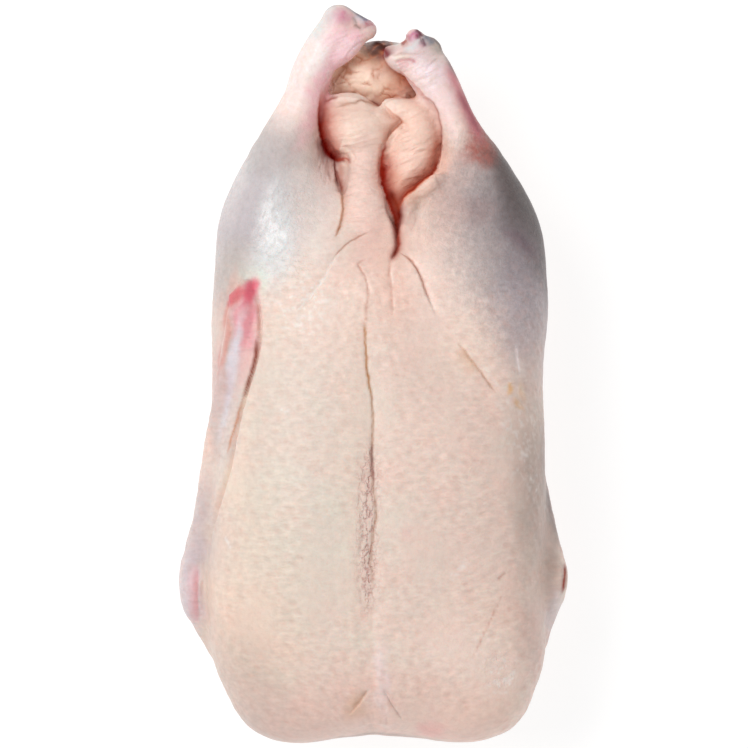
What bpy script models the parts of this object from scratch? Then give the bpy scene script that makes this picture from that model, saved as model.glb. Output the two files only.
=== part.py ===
# A whole raw duck, plucked and drawn, lying on its back with the breast up.
# Lengths below are millimetres. +Y runs from the neck end to the hocks, +X to the picture's right, +Z up.
import math

import bmesh
import bpy
import numpy as np

mm = 0.001

# ---- driving sizes ----
coarseVoxel = 3.0
fineVoxel = 1.7
triangleGoal = 10500
restCut = 1.3

# trunk sections: place along Y, half width left, half width right, top, widest level, underside
trunkSections = [
    (-187, 43, 42, 55, 44, 33),
    (-183, 55, 61, 70, 45, 23),
    (-177, 66, 71, 83, 46, 15),
    (-166, 75, 81.5, 95, 48, 8),
    (-147, 83.5, 89.6, 105, 50, 2.5),
    (-120, 87, 88.5, 112, 50, 0),
    (-80, 86.5, 89, 116.5, 50, 0),
    (-40, 84.5, 89, 117.5, 50, 0),
    (0, 83.5, 87.5, 114.5, 49, 0),
    (30, 84, 90.5, 109, 48, 0),
    (55, 81.5, 88.5, 101, 47, 1),
    (80, 67, 71, 86, 43, 4),
    (100, 53, 55, 66, 38, 8),
    (120, 43, 44, 50, 33, 13),
    (140, 35, 36, 42, 29, 17),
    (155, 29, 31, 38, 28, 19),
    (164, 19, 22, 34, 27, 21),
    (169, 10, 13, 31, 26, 23),
]
trunkShoulder = 2.35
trunkBack = 2.9
ringCount = 96
ringPoints = 72

# limbs: spine points (x, y, z), half width across, half thickness, roll of the flat side in degrees
limbs = {
    "thighRollLeft": dict(
        spine=[(-54.3, 33, 48), (-51.2, 69, 53), (-47.6, 94.8, 56), (-43, 120.5, 58)],
        across=[26, 29, 26, 16.2],
        thick=[30, 33, 28, 18],
    ),
    "thighRollRight": dict(
        spine=[(59, 33, 46), (59.5, 66.4, 53), (53.8, 97.3, 56), (46.6, 119.5, 58)],
        across=[27, 28.6, 21.2, 12.4],
        thick=[32, 34, 27, 17],
    ),
    "shankLeft": dict(
        spine=[(-44.5, 110.2, 57), (-40.4, 126.7, 58), (-35.3, 141.1, 60), (-31.7, 154, 61),
            (-26.5, 165.8, 62), (-18.8, 176.6, 63)],
        across=[20, 14.2, 11, 10.8, 10, 10],
        thick=[22, 17, 13, 11.5, 10.5, 9.5],
    ),
    "shankRight": dict(
        spine=[(49.7, 110.2, 57), (45.1, 123.1, 58), (39.4, 136, 60), (33.2, 147.8, 61),
            (27, 157.6, 62), (23.9, 164.3, 62)],
        across=[16, 11.2, 10.2, 11.2, 11.8, 10],
        thick=[20, 16, 12.5, 11.5, 10.5, 9],
    ),
    "wingLeft": dict(
        spine=[(-66.2, 44.3, 90), (-67.2, 37.6, 90), (-68.2, 22.7, 88), (-70.8, 4.6, 84),
            (-74.4, -13.4, 78), (-78.5, -31.4, 71), (-82.7, -54.6, 63), (-85.7, -75.2, 56),
            (-90.4, -95.8, 50), (-90.9, -116.4, 46), (-86.3, -129.3, 45), (-83.7, -141.1, 44)],
        across=[4, 6.5, 8.8, 9.6, 9.6, 9.5, 10, 12, 15, 16, 12, 5],
        thick=[3.5, 5, 6.5, 6.5, 6.5, 6.2, 6, 6.3, 7.5, 8, 6, 3.5],
        roll=[-42, -42, -42, -44, -48, -55, -65, -72, -78, -80, -80, -80],
    ),
    "wingRight": dict(
        spine=[(71.3, 38.1, 33), (72.4, 26.8, 31), (73.4, 12.4, 30), (74.4, -13.4, 30),
            (79.6, -44.3, 31), (85.2, -67.5, 36), (88.8, -89.6, 41), (90.4, -107.6, 43),
            (87.8, -122.6, 43), (86.3, -136, 42)],
        across=[4, 8, 9.5, 10, 10.5, 11.5, 14, 15, 12, 7],
        thick=[4, 6, 7.5, 7.5, 7.5, 8, 8.2, 8.5, 8, 5],
        roll=[92, 92, 92, 92, 90, 88, 85, 84, 84, 84],
    ),
    "leftStrap": dict(
        spine=[(-3.9, 117.4, 60), (-4.4, 106.1, 65), (-5.4, 94.8, 70), (-3.9, 82.4, 77),
            (-2.8, 71.1, 83), (0.3, 62.8, 87), (2.8, 55.6, 91)],
        across=[13, 8.4, 9.3, 12, 13.5, 10.5, 4],
        thick=[12, 9, 10, 10, 9, 7, 4],
    ),
    "rightLobe": dict(
        spine=[(7, 139.1, 63), (13.1, 137, 61), (21.4, 130.3, 57), (21.9, 119.5, 55),
            (19.8, 107.6, 56), (15.7, 96.8, 59), (11.6, 86.5, 62)],
        across=[2.8, 6, 11, 13.5, 13, 10, 5],
        thick=[3.5, 8, 14, 17.5, 16, 13, 8],
    ),
    "ventBand": dict(
        spine=[(-25.5, 136, 59), (-20.9, 139.6, 61), (-13.6, 141.4, 62), (-6.4, 140.1, 61),
            (-0.3, 137.5, 59)],
        across=[3, 3.8, 3.8, 3.4, 2],
        thick=[3, 4.5, 5, 4.5, 3],
    ),
    "flapEdge": dict(
        spine=[(35.8, 100.4, 73), (30.1, 97.9, 76), (24.5, 94.2, 78), (18.3, 88.6, 81),
            (15.7, 75.2, 86), (14.7, 60.8, 90)],
        across=[3, 4, 4.2, 4.4, 4.4, 3.5],
        thick=[3, 4.5, 5, 5, 5, 4],
    ),
}

# rounded masses: centre (x, y, z), half sizes (x, y, z), turn about Z in degrees
masses = {
    "breastEndLeft": ((-36.3, -164.8, 54), (38, 26.5, 37), 4),
    "breastEndRight": ((41.5, -164.3, 54), (41, 26.5, 37), -5),
    "thighLeft": ((-49.2, 69, 54), (33, 46, 34), -4),
    "thighRight": ((59.5, 59.7, 53), (30.5, 48, 34), 3),
    "groinLeft": ((-26.5, 81.9, 58), (18, 22, 24), 0),
    "groinRight": ((35.3, 79.8, 60), (20, 23, 24), 0),
    "hockLeft": ((-13.6, 179, 62), (13.5, 7.5, 9), -12),
    "hockTopLeft": ((-17.8, 181.5, 63), (9, 8.2, 9.5), 0),
    "hockUnderLeft": ((-15.5, 168.1, 61.5), (17, 8, 9), 44),
    "hockTipLeft": ((-3.1, 176.9, 62), (5, 5.6, 6), 20),
    "hockRight": ((22.4, 166.1, 61), (12, 6.6, 9), 4),
    "hockInnerRight": ((13.1, 161.2, 60), (9.5, 5.6, 7.5), -40),
    "hockTipRight": ((9, 164.8, 61), (4.4, 4.6, 5.5), 0),
    "hockKnobRight": ((21.4, 173, 64.5), (5.2, 4.3, 5), -25),
    "hockBrowRight": ((29.4, 167.9, 63), (7, 5, 6.5), -42),
    "leftLobe": ((-7.5, 124.1, 55), (20.5, 16.5, 20.5), 0),
    "leftLobeTip": ((6.4, 130.3, 57), (11, 7.5, 13), -18),
    "tailPad": ((4.4, 153.5, 39), (31, 18.5, 18), 0),
    "tailTip": ((3.3, 163.3, 38), (17.5, 9.4, 14), 0),
    "wingTipLeft": ((-65.1, 44.8, 90.5), (3.2, 3.6, 3.4), 0),
    "wingTipInner": ((-71.3, 39.1, 88), (2.8, 3.4, 3.2), 0),
    "shoulderLeft": ((-91.9, -109.2, 46), (8.6, 20, 19), 4),
    "shoulderRight": ((91.9, -106.1, 44), (8.6, 20, 18), -3),
    "neckFlap": ((3.3, -162.7, 26), (44, 20, 15), 0),
}

# ---- helpers ----
def curvePoints(points, count):
    points = np.asarray(points, float)
    steps = np.linalg.norm(np.diff(points, axis=0), axis=1)
    along = np.concatenate([[0], np.cumsum(np.sqrt(steps))])
    slopes = np.gradient(points, along, axis=0)
    out = []
    for t in np.linspace(0, along[-1], count):
        i = min(max(int(np.searchsorted(along, t)) - 1, 0), len(along) - 2)
        h = along[i + 1] - along[i]
        u = (t - along[i]) / h
        out.append(
            (2 * u**3 - 3 * u**2 + 1) * points[i]
            + (u**3 - 2 * u**2 + u) * h * slopes[i]
            + (3 * u**2 - 2 * u**3) * points[i + 1]
            + (u**3 - u**2) * h * slopes[i + 1]
        )
    return np.array(out)


def closedTube(rings):
    count, around = len(rings), len(rings[0])
    verts = [tuple(p) for ring in rings for p in ring]
    faces = []
    for r in range(count - 1):
        for k in range(around):
            n = (k + 1) % around
            faces.append((r * around + k, r * around + n, (r + 1) * around + n, (r + 1) * around + k))
    faces.append(tuple(range(around - 1, -1, -1)))
    faces.append(tuple((count - 1) * around + k for k in range(around)))
    return verts, faces


def trunkShape():
    rows = curvePoints(trunkSections, ringCount)
    rings = []
    for y, left, right, top, wide, low in rows:
        ring = []
        for k in range(ringPoints):
            a = 2 * math.pi * k / ringPoints
            c, s = math.cos(a), math.sin(a)
            power = trunkShoulder if s > 0 else trunkBack
            half = right if c > 0 else left
            x = half * math.copysign(abs(c) ** (2 / power), c)
            rise = top - wide if s > 0 else wide - low
            z = wide + rise * math.copysign(abs(s) ** (2 / power), s)
            ring.append((x, y, z))
        rings.append(ring)
    return closedTube(rings)


def limbShape(spine, across, thick, roll=None):
    roll = roll or [0] * len(spine)
    rows = curvePoints([(*p, a, t, r) for p, a, t, r in zip(spine, across, thick, roll)],
        6 * len(spine))
    # rounded ends: the first and last sections close like a half ellipse
    path = rows[:, :3]
    tangents = np.gradient(path, axis=0)
    tangents /= np.linalg.norm(tangents, axis=1)[:, None]
    head = [(path[0] - tangents[0] * math.sin(a) * rows[0, 3], math.cos(a),
        0) for a in (1.45, 1.1, 0.7, 0.35)]
    tail = [(path[-1] + tangents[-1] * math.sin(a) * rows[-1, 3], math.cos(a),
        -1) for a in (0.35, 0.7, 1.1, 1.45)]
    stations = head + [(p, 1.0, i) for i, p in enumerate(path)] + tail
    rings = []
    for centre, size, i in stations:
        turn = math.radians(rows[i, 5])
        t = tangents[i]
        side = np.cross(t, (0, 0, 1))
        side /= np.linalg.norm(side)
        up = np.cross(side, t)
        wideWay = side * math.cos(turn) + up * math.sin(turn)
        thickWay = np.cross(wideWay, t)
        a, b = rows[i, 3] * size, rows[i, 4] * size
        ring = []
        for k in range(24):
            w = 2 * math.pi * k / 24
            ring.append(centre + wideWay * a * math.cos(w) + thickWay * b * math.sin(w))
        rings.append(ring)
    return closedTube(rings)


def massShape(centre, half, turn):
    bm = bmesh.new()
    bmesh.ops.create_uvsphere(bm, u_segments=32, v_segments=20, radius=1)
    c, s = math.cos(math.radians(turn)), math.sin(math.radians(turn))
    verts = []
    for v in bm.verts:
        x, y, z = v.co.x * half[0], v.co.y * half[1], v.co.z * half[2]
        verts.append((centre[0] + c * x - s * y, centre[1] + s * x + c * y, centre[2] + z))
    faces = [tuple(v.index for v in f.verts) for f in bm.faces]
    bm.free()
    return verts, faces


def addObject(name, shapes):
    mesh = bpy.data.meshes.new(name)
    verts, faces = [], []
    for v, f in shapes:
        base = len(verts)
        verts += [tuple(float(x) * mm for x in p) for p in v]
        faces += [tuple(i + base for i in face) for face in f]
    mesh.from_pydata(verts, [], faces)
    bm = bmesh.new()
    bm.from_mesh(mesh)
    bmesh.ops.recalc_face_normals(bm, faces=bm.faces)
    bm.to_mesh(mesh)
    bm.free()
    obj = bpy.data.objects.new(name, mesh)
    bpy.context.scene.collection.objects.link(obj)
    return obj


def applyModifiers(obj):
    graph = bpy.context.evaluated_depsgraph_get()
    mesh = bpy.data.meshes.new_from_object(obj.evaluated_get(graph))
    old = obj.data
    obj.modifiers.clear()
    obj.data = mesh
    bpy.data.meshes.remove(old)


def fuse(obj, voxel):
    mod = obj.modifiers.new("skin", "REMESH")
    mod.mode = "VOXEL"
    mod.voxel_size = voxel * mm
    applyModifiers(obj)


def relax(obj, turns, share):
    # each turn moves a point part of the way to the middle of its neighbours
    points, faces = meshShape(obj)
    edges = np.empty(len(obj.data.edges) * 2, int)
    obj.data.edges.foreach_get("vertices", edges)
    a, b = edges.reshape(-1, 2).T
    ends = np.concatenate([a, b])
    others = np.concatenate([b, a])
    count = np.bincount(ends, minlength=len(points))[:, None]
    amount = share(points)[:, None]
    for turn in range(turns):
        total = np.stack([np.bincount(ends, points[others, i], len(points)) for i in range(3)], axis=1)
        points = points + amount * (total / count - points)
    setPoints(obj, points)


def meshShape(obj):
    mesh = obj.data
    verts = np.empty(len(mesh.vertices) * 3)
    mesh.vertices.foreach_get("co", verts)
    return verts.reshape(-1, 3) / mm, [tuple(p.vertices) for p in mesh.polygons]


# ---- creases: plan points (x, y), depth in (minus swells out), half width, which flank runs out ----
creases = [
    ("keelValley", [(-2.8, 28.8), (-0.8, -13.4), (-0.3, -54.6), (0.3, -95.8), (-0.3, -137),
        (-0.8, -191.1)], 2.3, 9, 0),
    ("keelLine", [(-3.9, 31.9), (-4.4, 22.7), (-2.8, 0), (-0.8, -12.4), (-0.3, -26.3), (-0.8, -39.1),
        (-0.3, -56.6), (1.3, -70.6), (-0.3, -80.3), (-1.3, -94.2), (-0.3, -106.1),
        (-2.8, -119.5)], 0.6, 0.7, 0),
    ("crossBelly", [(-1.3, 73.1), (-8, 69.8), (-14.7, 65.4), (-19.8, 59.7), (-25, 48.9), (-32.2, 38.1),
        (-40.9, 29.9)], 1.2, 0.9, -1),
    ("underStrap", [(-2.8, 58.7), (-7.7, 56.1), (-6.4, 53), (-3.9, 48.4), (-2.6, 41.7),
        (-3.6, 35)], 0.6, 0.7, 0),
    ("tongueRight", [(12.6, 62.3), (18, 58.5), (21.8, 53.6), (24.3, 48.4), (26.2, 42.7), (29.4, 35),
        (32.2, 28.8)], 1.4, 0.9, 1),
    ("tongueLeft", [(8.5, 58.2), (8.2, 51), (9, 43.3), (9.8, 27.8)], 0.6, 0.9, 0),
    ("groinLeft", [(-20.3, 111.8), (-19.6, 105.1), (-18.5, 98.9), (-16.2, 92.2), (-15.7, 87),
        (-15.7, 82.9), (-16.5, 78.3), (-18.3, 72.6), (-19.8, 68.5)], 1.7, 0.8, 1),
    ("pocketLeft", [(-18.3, 102), (-16.7, 96.8), (-16, 92.7)], 2.4, 1.9, 0),
    ("crotchLeft", [(-27, 142.1), (-27.8, 129.8), (-26, 119.5), (-22.4, 112.8), (-18.8, 110.2),
        (-15.2, 110.7), (-12.1, 108.7)], 3, 1.2, 1),
    ("betweenUpper", [(3.9, 139.1), (9, 133.9), (14.2, 129.3), (10.6, 125.1),
        (5.9, 117.4)], 1.8, 1.2, -1),
    ("betweenLower", [(6.4, 120), (4.6, 115.4), (4.1, 109.2), (3.9, 100.9)], 1.6, 1.1, 0),
    ("ventOpening", [(4.4, 111.2), (3.9, 104), (4.1, 98.4), (5.7, 93.7), (7.2, 88.1), (8.8, 81.9),
        (10.6, 76.2), (11.8, 70)], 4.5, 1.3, 1),
    ("ventSlit", [(5.9, 92.7), (8.2, 83.4), (10.6, 76.2), (11.8, 70), (12.1, 64.9), (10.8, 61.3),
        (8.2, 57.2)], 3, 1.2, 0),
    ("flapUnder", [(34.8, 120.5), (34.2, 114.3), (33, 108.2), (31.2, 103.5), (28.1, 100.7),
        (23.9, 97.1), (19.3, 93), (15.2, 89.1), (12.9, 83.9), (12.1, 78.3)], 3, 1.2, -1),
    ("lobeOuter", [(26, 142.1), (32.7, 134.4), (35, 122.6), (32.7, 108.2)], 1.2, 1.1, -1),
    ("padUnder", [(-26.5, 138), (-22.4, 141.1), (-14.7, 143.2), (-7, 142.1), (2.3, 137.5),
        (8.5, 141.1), (17.8, 142.1), (26, 141.1)], 1.4, 1.1, 1),
    ("bandLine", [(-20.3, 136), (-16.2, 137.8), (-9.5, 139.1), (-6.4, 140.3), (-2.8, 139.8),
        (2.3, 137)], 0.8, 0.8, 0),
    ("wingEdge", [(-60.5, 43.3), (-58.7, 35.5), (-57.9, 23.7), (-59, 12.4), (-61.8, 1), (-65.1, -9.3),
        (-68.2, -19.6), (-70.8, -30.9), (-73.9, -46.9), (-78.5, -62.8), (-82.7, -77.8),
        (-85.2, -93.7)], 3.6, 1, 0),
    ("breastRight", [(42, 17), (48.7, 8.2), (55.4, -0.5), (63.1, -11.3)], 0.5, 0.7, 0),
    ("neckFoldLeft", [(-2.3, -160.7), (-7, -167.9), (-13.6, -175.1)], 1.6, 1.5, 0),
    ("neckFoldRight", [(5.4, -160.7), (9, -167.9), (15.2, -177.2)], 1.6, 1.5, 0),
    ("keelRidge", [(4.9, -88.1), (4.9, -116.4), (4.4, -142.1), (3.3, -170.5)], -1, 4, 0),
    ("notch", [(0.8, -192.6), (0.3, -185.9), (-0.3, -179.2)], 3, 6, 0),
]


def strokeWeight(points, plan, half, side, steep=0.4):
    # 1 on a drawn line, thinning out at its ends; with a side, one flank is steep and the other runs out
    line = curvePoints(plan, 8 * len(plan))
    weight = np.zeros(len(points))
    low, high = line.min(axis=0) - 6 * half, line.max(axis=0) + 6 * half
    index = np.where(np.all((points[:, :2] > low) & (points[:, :2] < high), axis=1))[0]
    p = points[index, :2]
    a, b = line[:-1], line[1:]
    ab = b - a
    rel = p[:, None, :] - a[None]
    u = np.clip((rel * ab).sum(-1) / (ab * ab).sum(-1), 0, 1)
    gap = np.linalg.norm(rel - u[..., None] * ab, axis=-1)
    best = gap.argmin(axis=1)
    row = np.arange(len(index))
    place = (best + u[row, best]) / len(a)
    hand = ab[best, 0] * rel[row, best, 1] - ab[best, 1] * rel[row, best, 0]
    flank = np.where(hand * side > 0, 2.6, steep) if side else 1
    fade = np.sin(np.clip(np.minimum(place, 1 - place) * 4, 0, 1) * math.pi / 2)
    width = half * flank * (0.45 + 0.55 * fade)
    weight[index] = np.exp(-((gap.min(axis=1) / width) ** 1.6)) * fade
    return weight


def carve(points, normals, strokes):
    moved = points.copy()
    facing = np.clip(normals[:, 2] * 2 + 0.3, 0, 1)
    for name, plan, depth, half, side in strokes:
        moved -= normals * (depth * strokeWeight(points, plan, half, side) * facing)[:, None]
    return moved


def vertexNormals(obj):
    normals = np.empty(len(obj.data.vertices) * 3)
    obj.data.vertices.foreach_get("normal", normals)
    return normals.reshape(-1, 3)


def setPoints(obj, points):
    obj.data.vertices.foreach_set("co", (points * mm).ravel())
    obj.data.update()


# ---- build ----
for old in list(bpy.data.objects):
    bpy.data.objects.remove(old, do_unlink=True)

bigLimbs = ("thighRollLeft", "thighRollRight")
bigMasses = ("breastEndLeft", "breastEndRight", "thighLeft", "thighRight", "groinLeft", "groinRight",
    "neckFlap")
shapes = [trunkShape()]
shapes += [limbShape(**limbs[name]) for name in bigLimbs]
shapes += [massShape(*masses[name]) for name in bigMasses]
flesh = addObject("flesh", shapes)
fuse(flesh, coarseVoxel)
relax(flesh, 40, lambda p: np.clip((150 - p[:, 1]) / 60, 0.2, 1) * 0.5)

shapes = [meshShape(flesh)]
shapes += [limbShape(**form) for name, form in limbs.items() if name not in bigLimbs]
shapes += [massShape(*form) for name, form in masses.items() if name not in bigMasses]
duck = addObject("duck", shapes)
bpy.data.objects.remove(flesh, do_unlink=True)
fuse(duck, fineVoxel)
relax(duck, 4, lambda p: np.full(len(p), 0.5))

points, faces = meshShape(duck)
setPoints(duck, carve(points, vertexNormals(duck), creases))

thin = duck.modifiers.new("thin", "DECIMATE")
thin.ratio = triangleGoal / (2 * len(duck.data.polygons))
applyModifiers(duck)

# the flat spot it rests on
bm = bmesh.new()
bm.from_mesh(duck.data)
floor = min(v.co.z for v in bm.verts) + restCut * mm
cut = bmesh.ops.bisect_plane(
    bm, geom=bm.verts[:] + bm.edges[:] + bm.faces[:], plane_co=(0, 0, floor), plane_no=(0, 0, -1),
        clear_outer=True
)
edges = [e for e in cut["geom_cut"] if isinstance(e, bmesh.types.BMEdge)]
bmesh.ops.contextual_create(bm, geom=edges)
bmesh.ops.recalc_face_normals(bm, faces=bm.faces)
low = [min(v.co[i] for v in bm.verts) for i in range(3)]
high = [max(v.co[i] for v in bm.verts) for i in range(3)]
for v in bm.verts:
    v.co.x -= (low[0] + high[0]) / 2
    v.co.y -= (low[1] + high[1]) / 2
    v.co.z -= floor
bmesh.ops.triangulate(bm, faces=bm.faces)
bm.to_mesh(duck.data)
bm.free()
size = [round((h - l) / mm, 1) for l, h in zip(low, high)]
middle = [round((h + l) / 2 / mm, 2) for l, h in zip(low, high)]
print("size mm", size, "middle", middle, "triangles", len(duck.data.polygons))

skin = bpy.data.materials.new("raw duck skin")
skin.use_nodes = True
shader = skin.node_tree.nodes["Principled BSDF"]
shader.inputs["Base Color"].default_value = (0.80, 0.62, 0.52, 1)
shader.inputs["Roughness"].default_value = 0.42
duck.data.materials.clear()
duck.data.materials.append(skin)

group = bpy.data.collections.new("whole raw duck")
bpy.context.scene.collection.children.link(group)
group.objects.link(duck)
bpy.context.scene.collection.objects.unlink(duck)
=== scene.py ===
import math

import bmesh
import bpy
import numpy as np
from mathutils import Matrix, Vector, noise


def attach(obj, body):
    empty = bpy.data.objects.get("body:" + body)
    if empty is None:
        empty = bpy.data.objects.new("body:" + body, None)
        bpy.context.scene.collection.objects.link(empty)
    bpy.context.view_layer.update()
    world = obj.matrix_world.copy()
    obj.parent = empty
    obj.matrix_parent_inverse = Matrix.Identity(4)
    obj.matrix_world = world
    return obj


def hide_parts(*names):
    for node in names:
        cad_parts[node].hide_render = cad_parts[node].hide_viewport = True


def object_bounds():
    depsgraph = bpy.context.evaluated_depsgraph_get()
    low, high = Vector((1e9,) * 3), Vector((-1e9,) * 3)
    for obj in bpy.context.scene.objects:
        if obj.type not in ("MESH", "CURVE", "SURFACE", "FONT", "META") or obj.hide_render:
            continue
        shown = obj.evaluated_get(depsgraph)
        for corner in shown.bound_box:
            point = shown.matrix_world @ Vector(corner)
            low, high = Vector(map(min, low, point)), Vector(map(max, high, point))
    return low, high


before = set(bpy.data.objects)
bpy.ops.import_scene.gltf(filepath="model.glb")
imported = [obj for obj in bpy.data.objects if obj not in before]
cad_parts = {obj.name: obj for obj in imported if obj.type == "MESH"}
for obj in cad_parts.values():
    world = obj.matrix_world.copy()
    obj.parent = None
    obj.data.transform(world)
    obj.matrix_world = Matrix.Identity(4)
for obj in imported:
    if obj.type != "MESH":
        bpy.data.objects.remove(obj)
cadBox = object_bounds()
mm = 0.001

# lengths are millimetres: +Y to the hocks, +X to the picture's right, +Z up out of the breast
duckShape = dict(
    coarseVoxel=3.0,  # mesh size while the large masses are fused
    fineVoxel=1.5,
    fleshRounds=40,  # rounds of smoothing after each of the two
    skinRounds=4,
    restCut=1.3,  # how far the soft back gives way where it rests
    undersideTop=42,  # below this level, faces that look down are thinned
    undersideShare=0.3,  # to this share of them
    detailFloor=30,  # faces are cut finer only above this level
    poreHeight=0.16,
    poreSteps=((4.8, 4.4), (5.9, -6.4)),  # the two steps of the slanted lattice of feather pores
    poreFade=(75, 40),  # pores end between these two places along the body
    wrapLevel=45,  # the lattice wraps round a line at this height, at this radius
    wrapRadius=72,
    waveHeight=0.4,
    waveSize=26,
    dimpleHeight=0.2,
    dimpleLost=0.12,  # how much lower the dimples are where pores show
    dimpleSize=8,
    strandStretch=4,
    lobuleStep=6.2,  # from one lump of fat to the next
    lobuleHeight=0.4,
    lobuleRound=0.025,
    veinWidth=1.15,
    veinDepth=0.3,
)

# how square the trunk's sections are above and below their widest place
trunkShoulder = 2.35
trunkBack = 2.9

# how many points each form is drawn with
ringCount = 96
ringPoints = 72
limbRings = 6
limbAround = 24
massAround = 32
massRings = 20
strokeSteps = 8

# the trunk's sections: y, left half, right half, top, height of the widest place, underside
trunkSections = [
    (-187, 43, 42, 55, 44, 33),
    (-183, 55, 61, 70, 45, 23),
    (-177, 66, 71, 83, 46, 15),
    (-166, 75, 81.5, 95, 48, 8),
    (-147, 83.5, 89.6, 105, 50, 2.5),
    (-120, 87, 88.5, 112, 50, 0),
    (-80, 86.5, 89, 116.5, 50, 0),
    (-40, 84.5, 89, 117.5, 50, 0),
    (0, 83.5, 87.5, 114.5, 49, 0),
    (30, 84, 90.5, 109, 48, 0),
    (55, 81.5, 88.5, 101, 47, 1),
    (80, 67, 71, 86, 43, 4),
    (100, 53, 55, 66, 38, 8),
    (120, 43, 44, 50, 33, 13),
    (140, 35, 36, 42, 29, 17),
    (155, 29, 31, 38, 28, 19),
    (164, 19, 22, 34, 27, 21),
    (169, 10, 13, 31, 26, 23),
]

# limbs, wings and the folds at the vent are long rolls: points (x, y, z) of the middle line, half width,
# half thickness, and the turn of the flat side in degrees
limbs = {
    "thighRollLeft": dict(
        spine=[(-54.3, 33, 48), (-51.2, 69, 53), (-47.6, 94.8, 56), (-43, 120.5, 58)],
        across=[26, 29, 26, 16.2],
        thick=[30, 33, 28, 18],
    ),
    "thighRollRight": dict(
        spine=[(59, 33, 46), (59.5, 66.4, 53), (53.8, 97.3, 56), (46.6, 119.5, 58)],
        across=[27, 28.6, 21.2, 12.4],
        thick=[32, 34, 27, 17],
    ),
    "shankLeft": dict(
        spine=[(-44.5, 110.2, 57), (-40.4, 126.7, 58), (-35.3, 141.1, 60), (-31.7, 154, 61),
            (-26.5, 165.8, 62), (-18.8, 176.6, 63)],
        across=[20, 14.2, 11, 10.8, 10, 10],
        thick=[22, 17, 13, 11.5, 10.5, 9.5],
    ),
    "shankRight": dict(
        spine=[(49.7, 110.2, 57), (45.1, 123.1, 58), (39.4, 136, 60), (33.2, 147.8, 61),
            (27, 157.6, 62), (23.9, 164.3, 62)],
        across=[16, 11.2, 10.2, 11.2, 11.8, 10],
        thick=[20, 16, 12.5, 11.5, 10.5, 9],
    ),
    "wingLeft": dict(
        spine=[(-66.2, 44.3, 90), (-67.2, 37.6, 90), (-68.2, 22.7, 88), (-70.8, 4.6, 84),
            (-74.4, -13.4, 78), (-78.5, -31.4, 71), (-82.7, -54.6, 63), (-85.7, -75.2, 56),
            (-90.4, -95.8, 50), (-90.9, -116.4, 46), (-86.3, -129.3, 45), (-83.7, -141.1, 44)],
        across=[4, 6.5, 8.8, 9.6, 9.6, 9.5, 10, 12, 15, 16, 12, 5],
        thick=[3.5, 5, 6.5, 6.5, 6.5, 6.2, 6, 6.3, 7.5, 8, 6, 3.5],
        roll=[-42, -42, -42, -44, -48, -55, -65, -72, -78, -80, -80, -80],
    ),
    "wingRight": dict(
        spine=[(71.3, 38.1, 33), (72.4, 26.8, 31), (73.4, 12.4, 30), (74.4, -13.4, 30),
            (79.6, -44.3, 31), (85.2, -67.5, 36), (88.8, -89.6, 41), (90.4, -107.6, 43),
            (87.8, -122.6, 43), (86.3, -136, 42)],
        across=[4, 8, 9.5, 10, 10.5, 11.5, 14, 15, 12, 7],
        thick=[4, 6, 7.5, 7.5, 7.5, 8, 8.2, 8.5, 8, 5],
        roll=[92, 92, 92, 92, 90, 88, 85, 84, 84, 84],
    ),
    "leftStrap": dict(
        spine=[(-3.9, 117.4, 60), (-4.4, 106.1, 65), (-5.4, 94.8, 70), (-3.9, 82.4, 77),
            (-2.8, 71.1, 83), (0.3, 62.8, 87), (2.8, 55.6, 91)],
        across=[13, 8.4, 9.3, 12, 13.5, 10.5, 4],
        thick=[12, 9, 10, 10, 9, 7, 4],
    ),
    "rightLobe": dict(
        spine=[(7, 139.1, 63), (13.1, 137, 61), (21.4, 130.3, 57), (21.9, 119.5, 55),
            (19.8, 107.6, 56), (15.7, 96.8, 59), (11.6, 86.5, 62)],
        across=[2.8, 6, 11, 13.5, 13, 10, 5],
        thick=[3.5, 8, 14, 17.5, 16, 13, 8],
    ),
    "ventBand": dict(
        spine=[(-25.5, 136, 59), (-20.9, 139.6, 61), (-13.6, 141.4, 62), (-6.4, 140.1, 61),
            (-0.3, 137.5, 59)],
        across=[3, 3.8, 3.8, 3.4, 2],
        thick=[3, 4.5, 5, 4.5, 3],
    ),
    "flapEdge": dict(
        spine=[(35.8, 100.4, 73), (30.1, 97.9, 76), (24.5, 94.2, 78), (18.3, 88.6, 81),
            (15.7, 75.2, 86), (14.7, 60.8, 90)],
        across=[3, 4, 4.2, 4.4, 4.4, 3.5],
        thick=[3, 4.5, 5, 5, 5, 4],
    ),
}

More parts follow.
